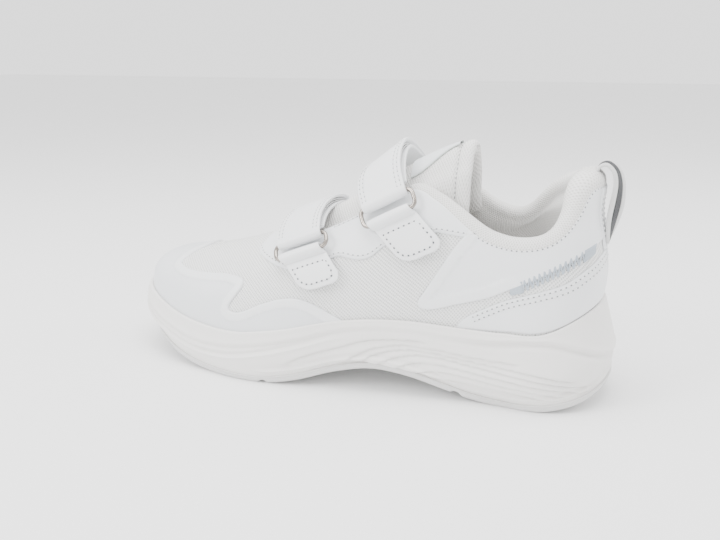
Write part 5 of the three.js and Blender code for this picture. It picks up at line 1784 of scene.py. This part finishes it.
# %% Stitches on the straps
for place, plane in strap_planes.items():
    data = strap_lines[place]
    tab_top = STRAP["tab_lift"] + STRAP["tab_thickness"] / 2 + 0.675 + 0.08
    low, high, wide = data["foot"] + 2.6, data["bar"] - 6.2, STRAP["tab_width"] / 2 - 2.4
    corner = 4.2
    path = [(high, -wide), (low + corner, -wide), (low + 1.2, -wide + 1.2), (low, -wide + corner),
            (low, wide - corner), (low + 1.2, wide - 1.2), (low + corner, wide), (high, wide)]
    box_line = even_steps(np.array(path), 0.4)
    top_line = even_steps(np.array([(high, -wide), (high, wide)]), 0.4)
    rows = []
    for line in (box_line, top_line):
        crown = 0.25 * (1 - (line[:, 1] / (STRAP["tab_width"] / 2)) ** 2)
        flat = plane.at(line[:, 0], tab_top + crown)
        lifted = plane.at(line[:, 0], tab_top + 1 + crown)
        world = plane.world(flat, line[:, 1], lean=data["level"])
        rows.append((world, plane.world(lifted, line[:, 1], lean=data["level"]) - world))
    stitches(f"tab_stitches_{place}", rows, hole=0.52, length=2.3, radius=0.2)
    rows = []
    flap_top = data["top"] + STRAP["thickness"] / 2 + 0.02
    for side in (-10.9, -8.9, 8.9, 10.9):
        run = np.linspace(data["upper"] + 1.5, data["end"] - 3.0 - (abs(side) > 10) * 1.5, 120)
        crown = 0.3 * (1 - (side / (STRAP["width"] / 2)) ** 2)
        world = plane.world(plane.at(run, flap_top + crown), side, WRAP[place])
        rows.append((world, plane.world(plane.at(run, flap_top + 1 + crown), side, WRAP[place]) - world))
    stitches(f"flap_stitches_{place}", rows, f"{place}_flap", dark=SOFT_HOLE_SHADE, pitch=2.7, length=2.1,
             hole=0.36)
print("Strap stitching done")

# %% Collar, backstay and tongue seams
seam_line = seam[:, 2:] + normal * 0.75 - rising * 1.1
stitches("collar_seam", [(seam_line[20:-20], normal[20:-20])], dark=GREY_HOLE_SHADE, slot="lining", pitch=2.4,
         length=1.9, radius=0.2, hole=0.42)
rows = []
for y in (-5.4, 5.4):
    line = back_point(np.full(40, y), np.linspace(78, 106, 40))
    out = stay_out[:, 4 if y < 0 else 28].copy()
    out = np.stack([np.interp(np.linspace(0, 43, 40), np.arange(44), c) for c in out.T], -1)
    rows.append((line + out * 1.57, out))
stitches("backstay_stitches", rows, dark=SOFT_HOLE_SHADE, pitch=2.6, length=1.6)
line = tongue_point(SEAM_AT, share_row[6:-6] * 0.985, PAD_MIDDLE - (PAD - PINCH) / 2 + 0.45 - 0.12)
seam_angle = math.pi / 2 + share_row[6:-6] * math.radians(TONGUE_TOP_SPREAD)
out = form_normal(np.full(len(line), SEAM_AT), seam_angle)
stitches("tongue_seam", [(line, out)], "tongue", dark=GREY_HOLE_SHADE, slot="mesh", pitch=2.4, length=1.4,
         radius=0.2)
print("Seams done;", len(made), "pieces made")
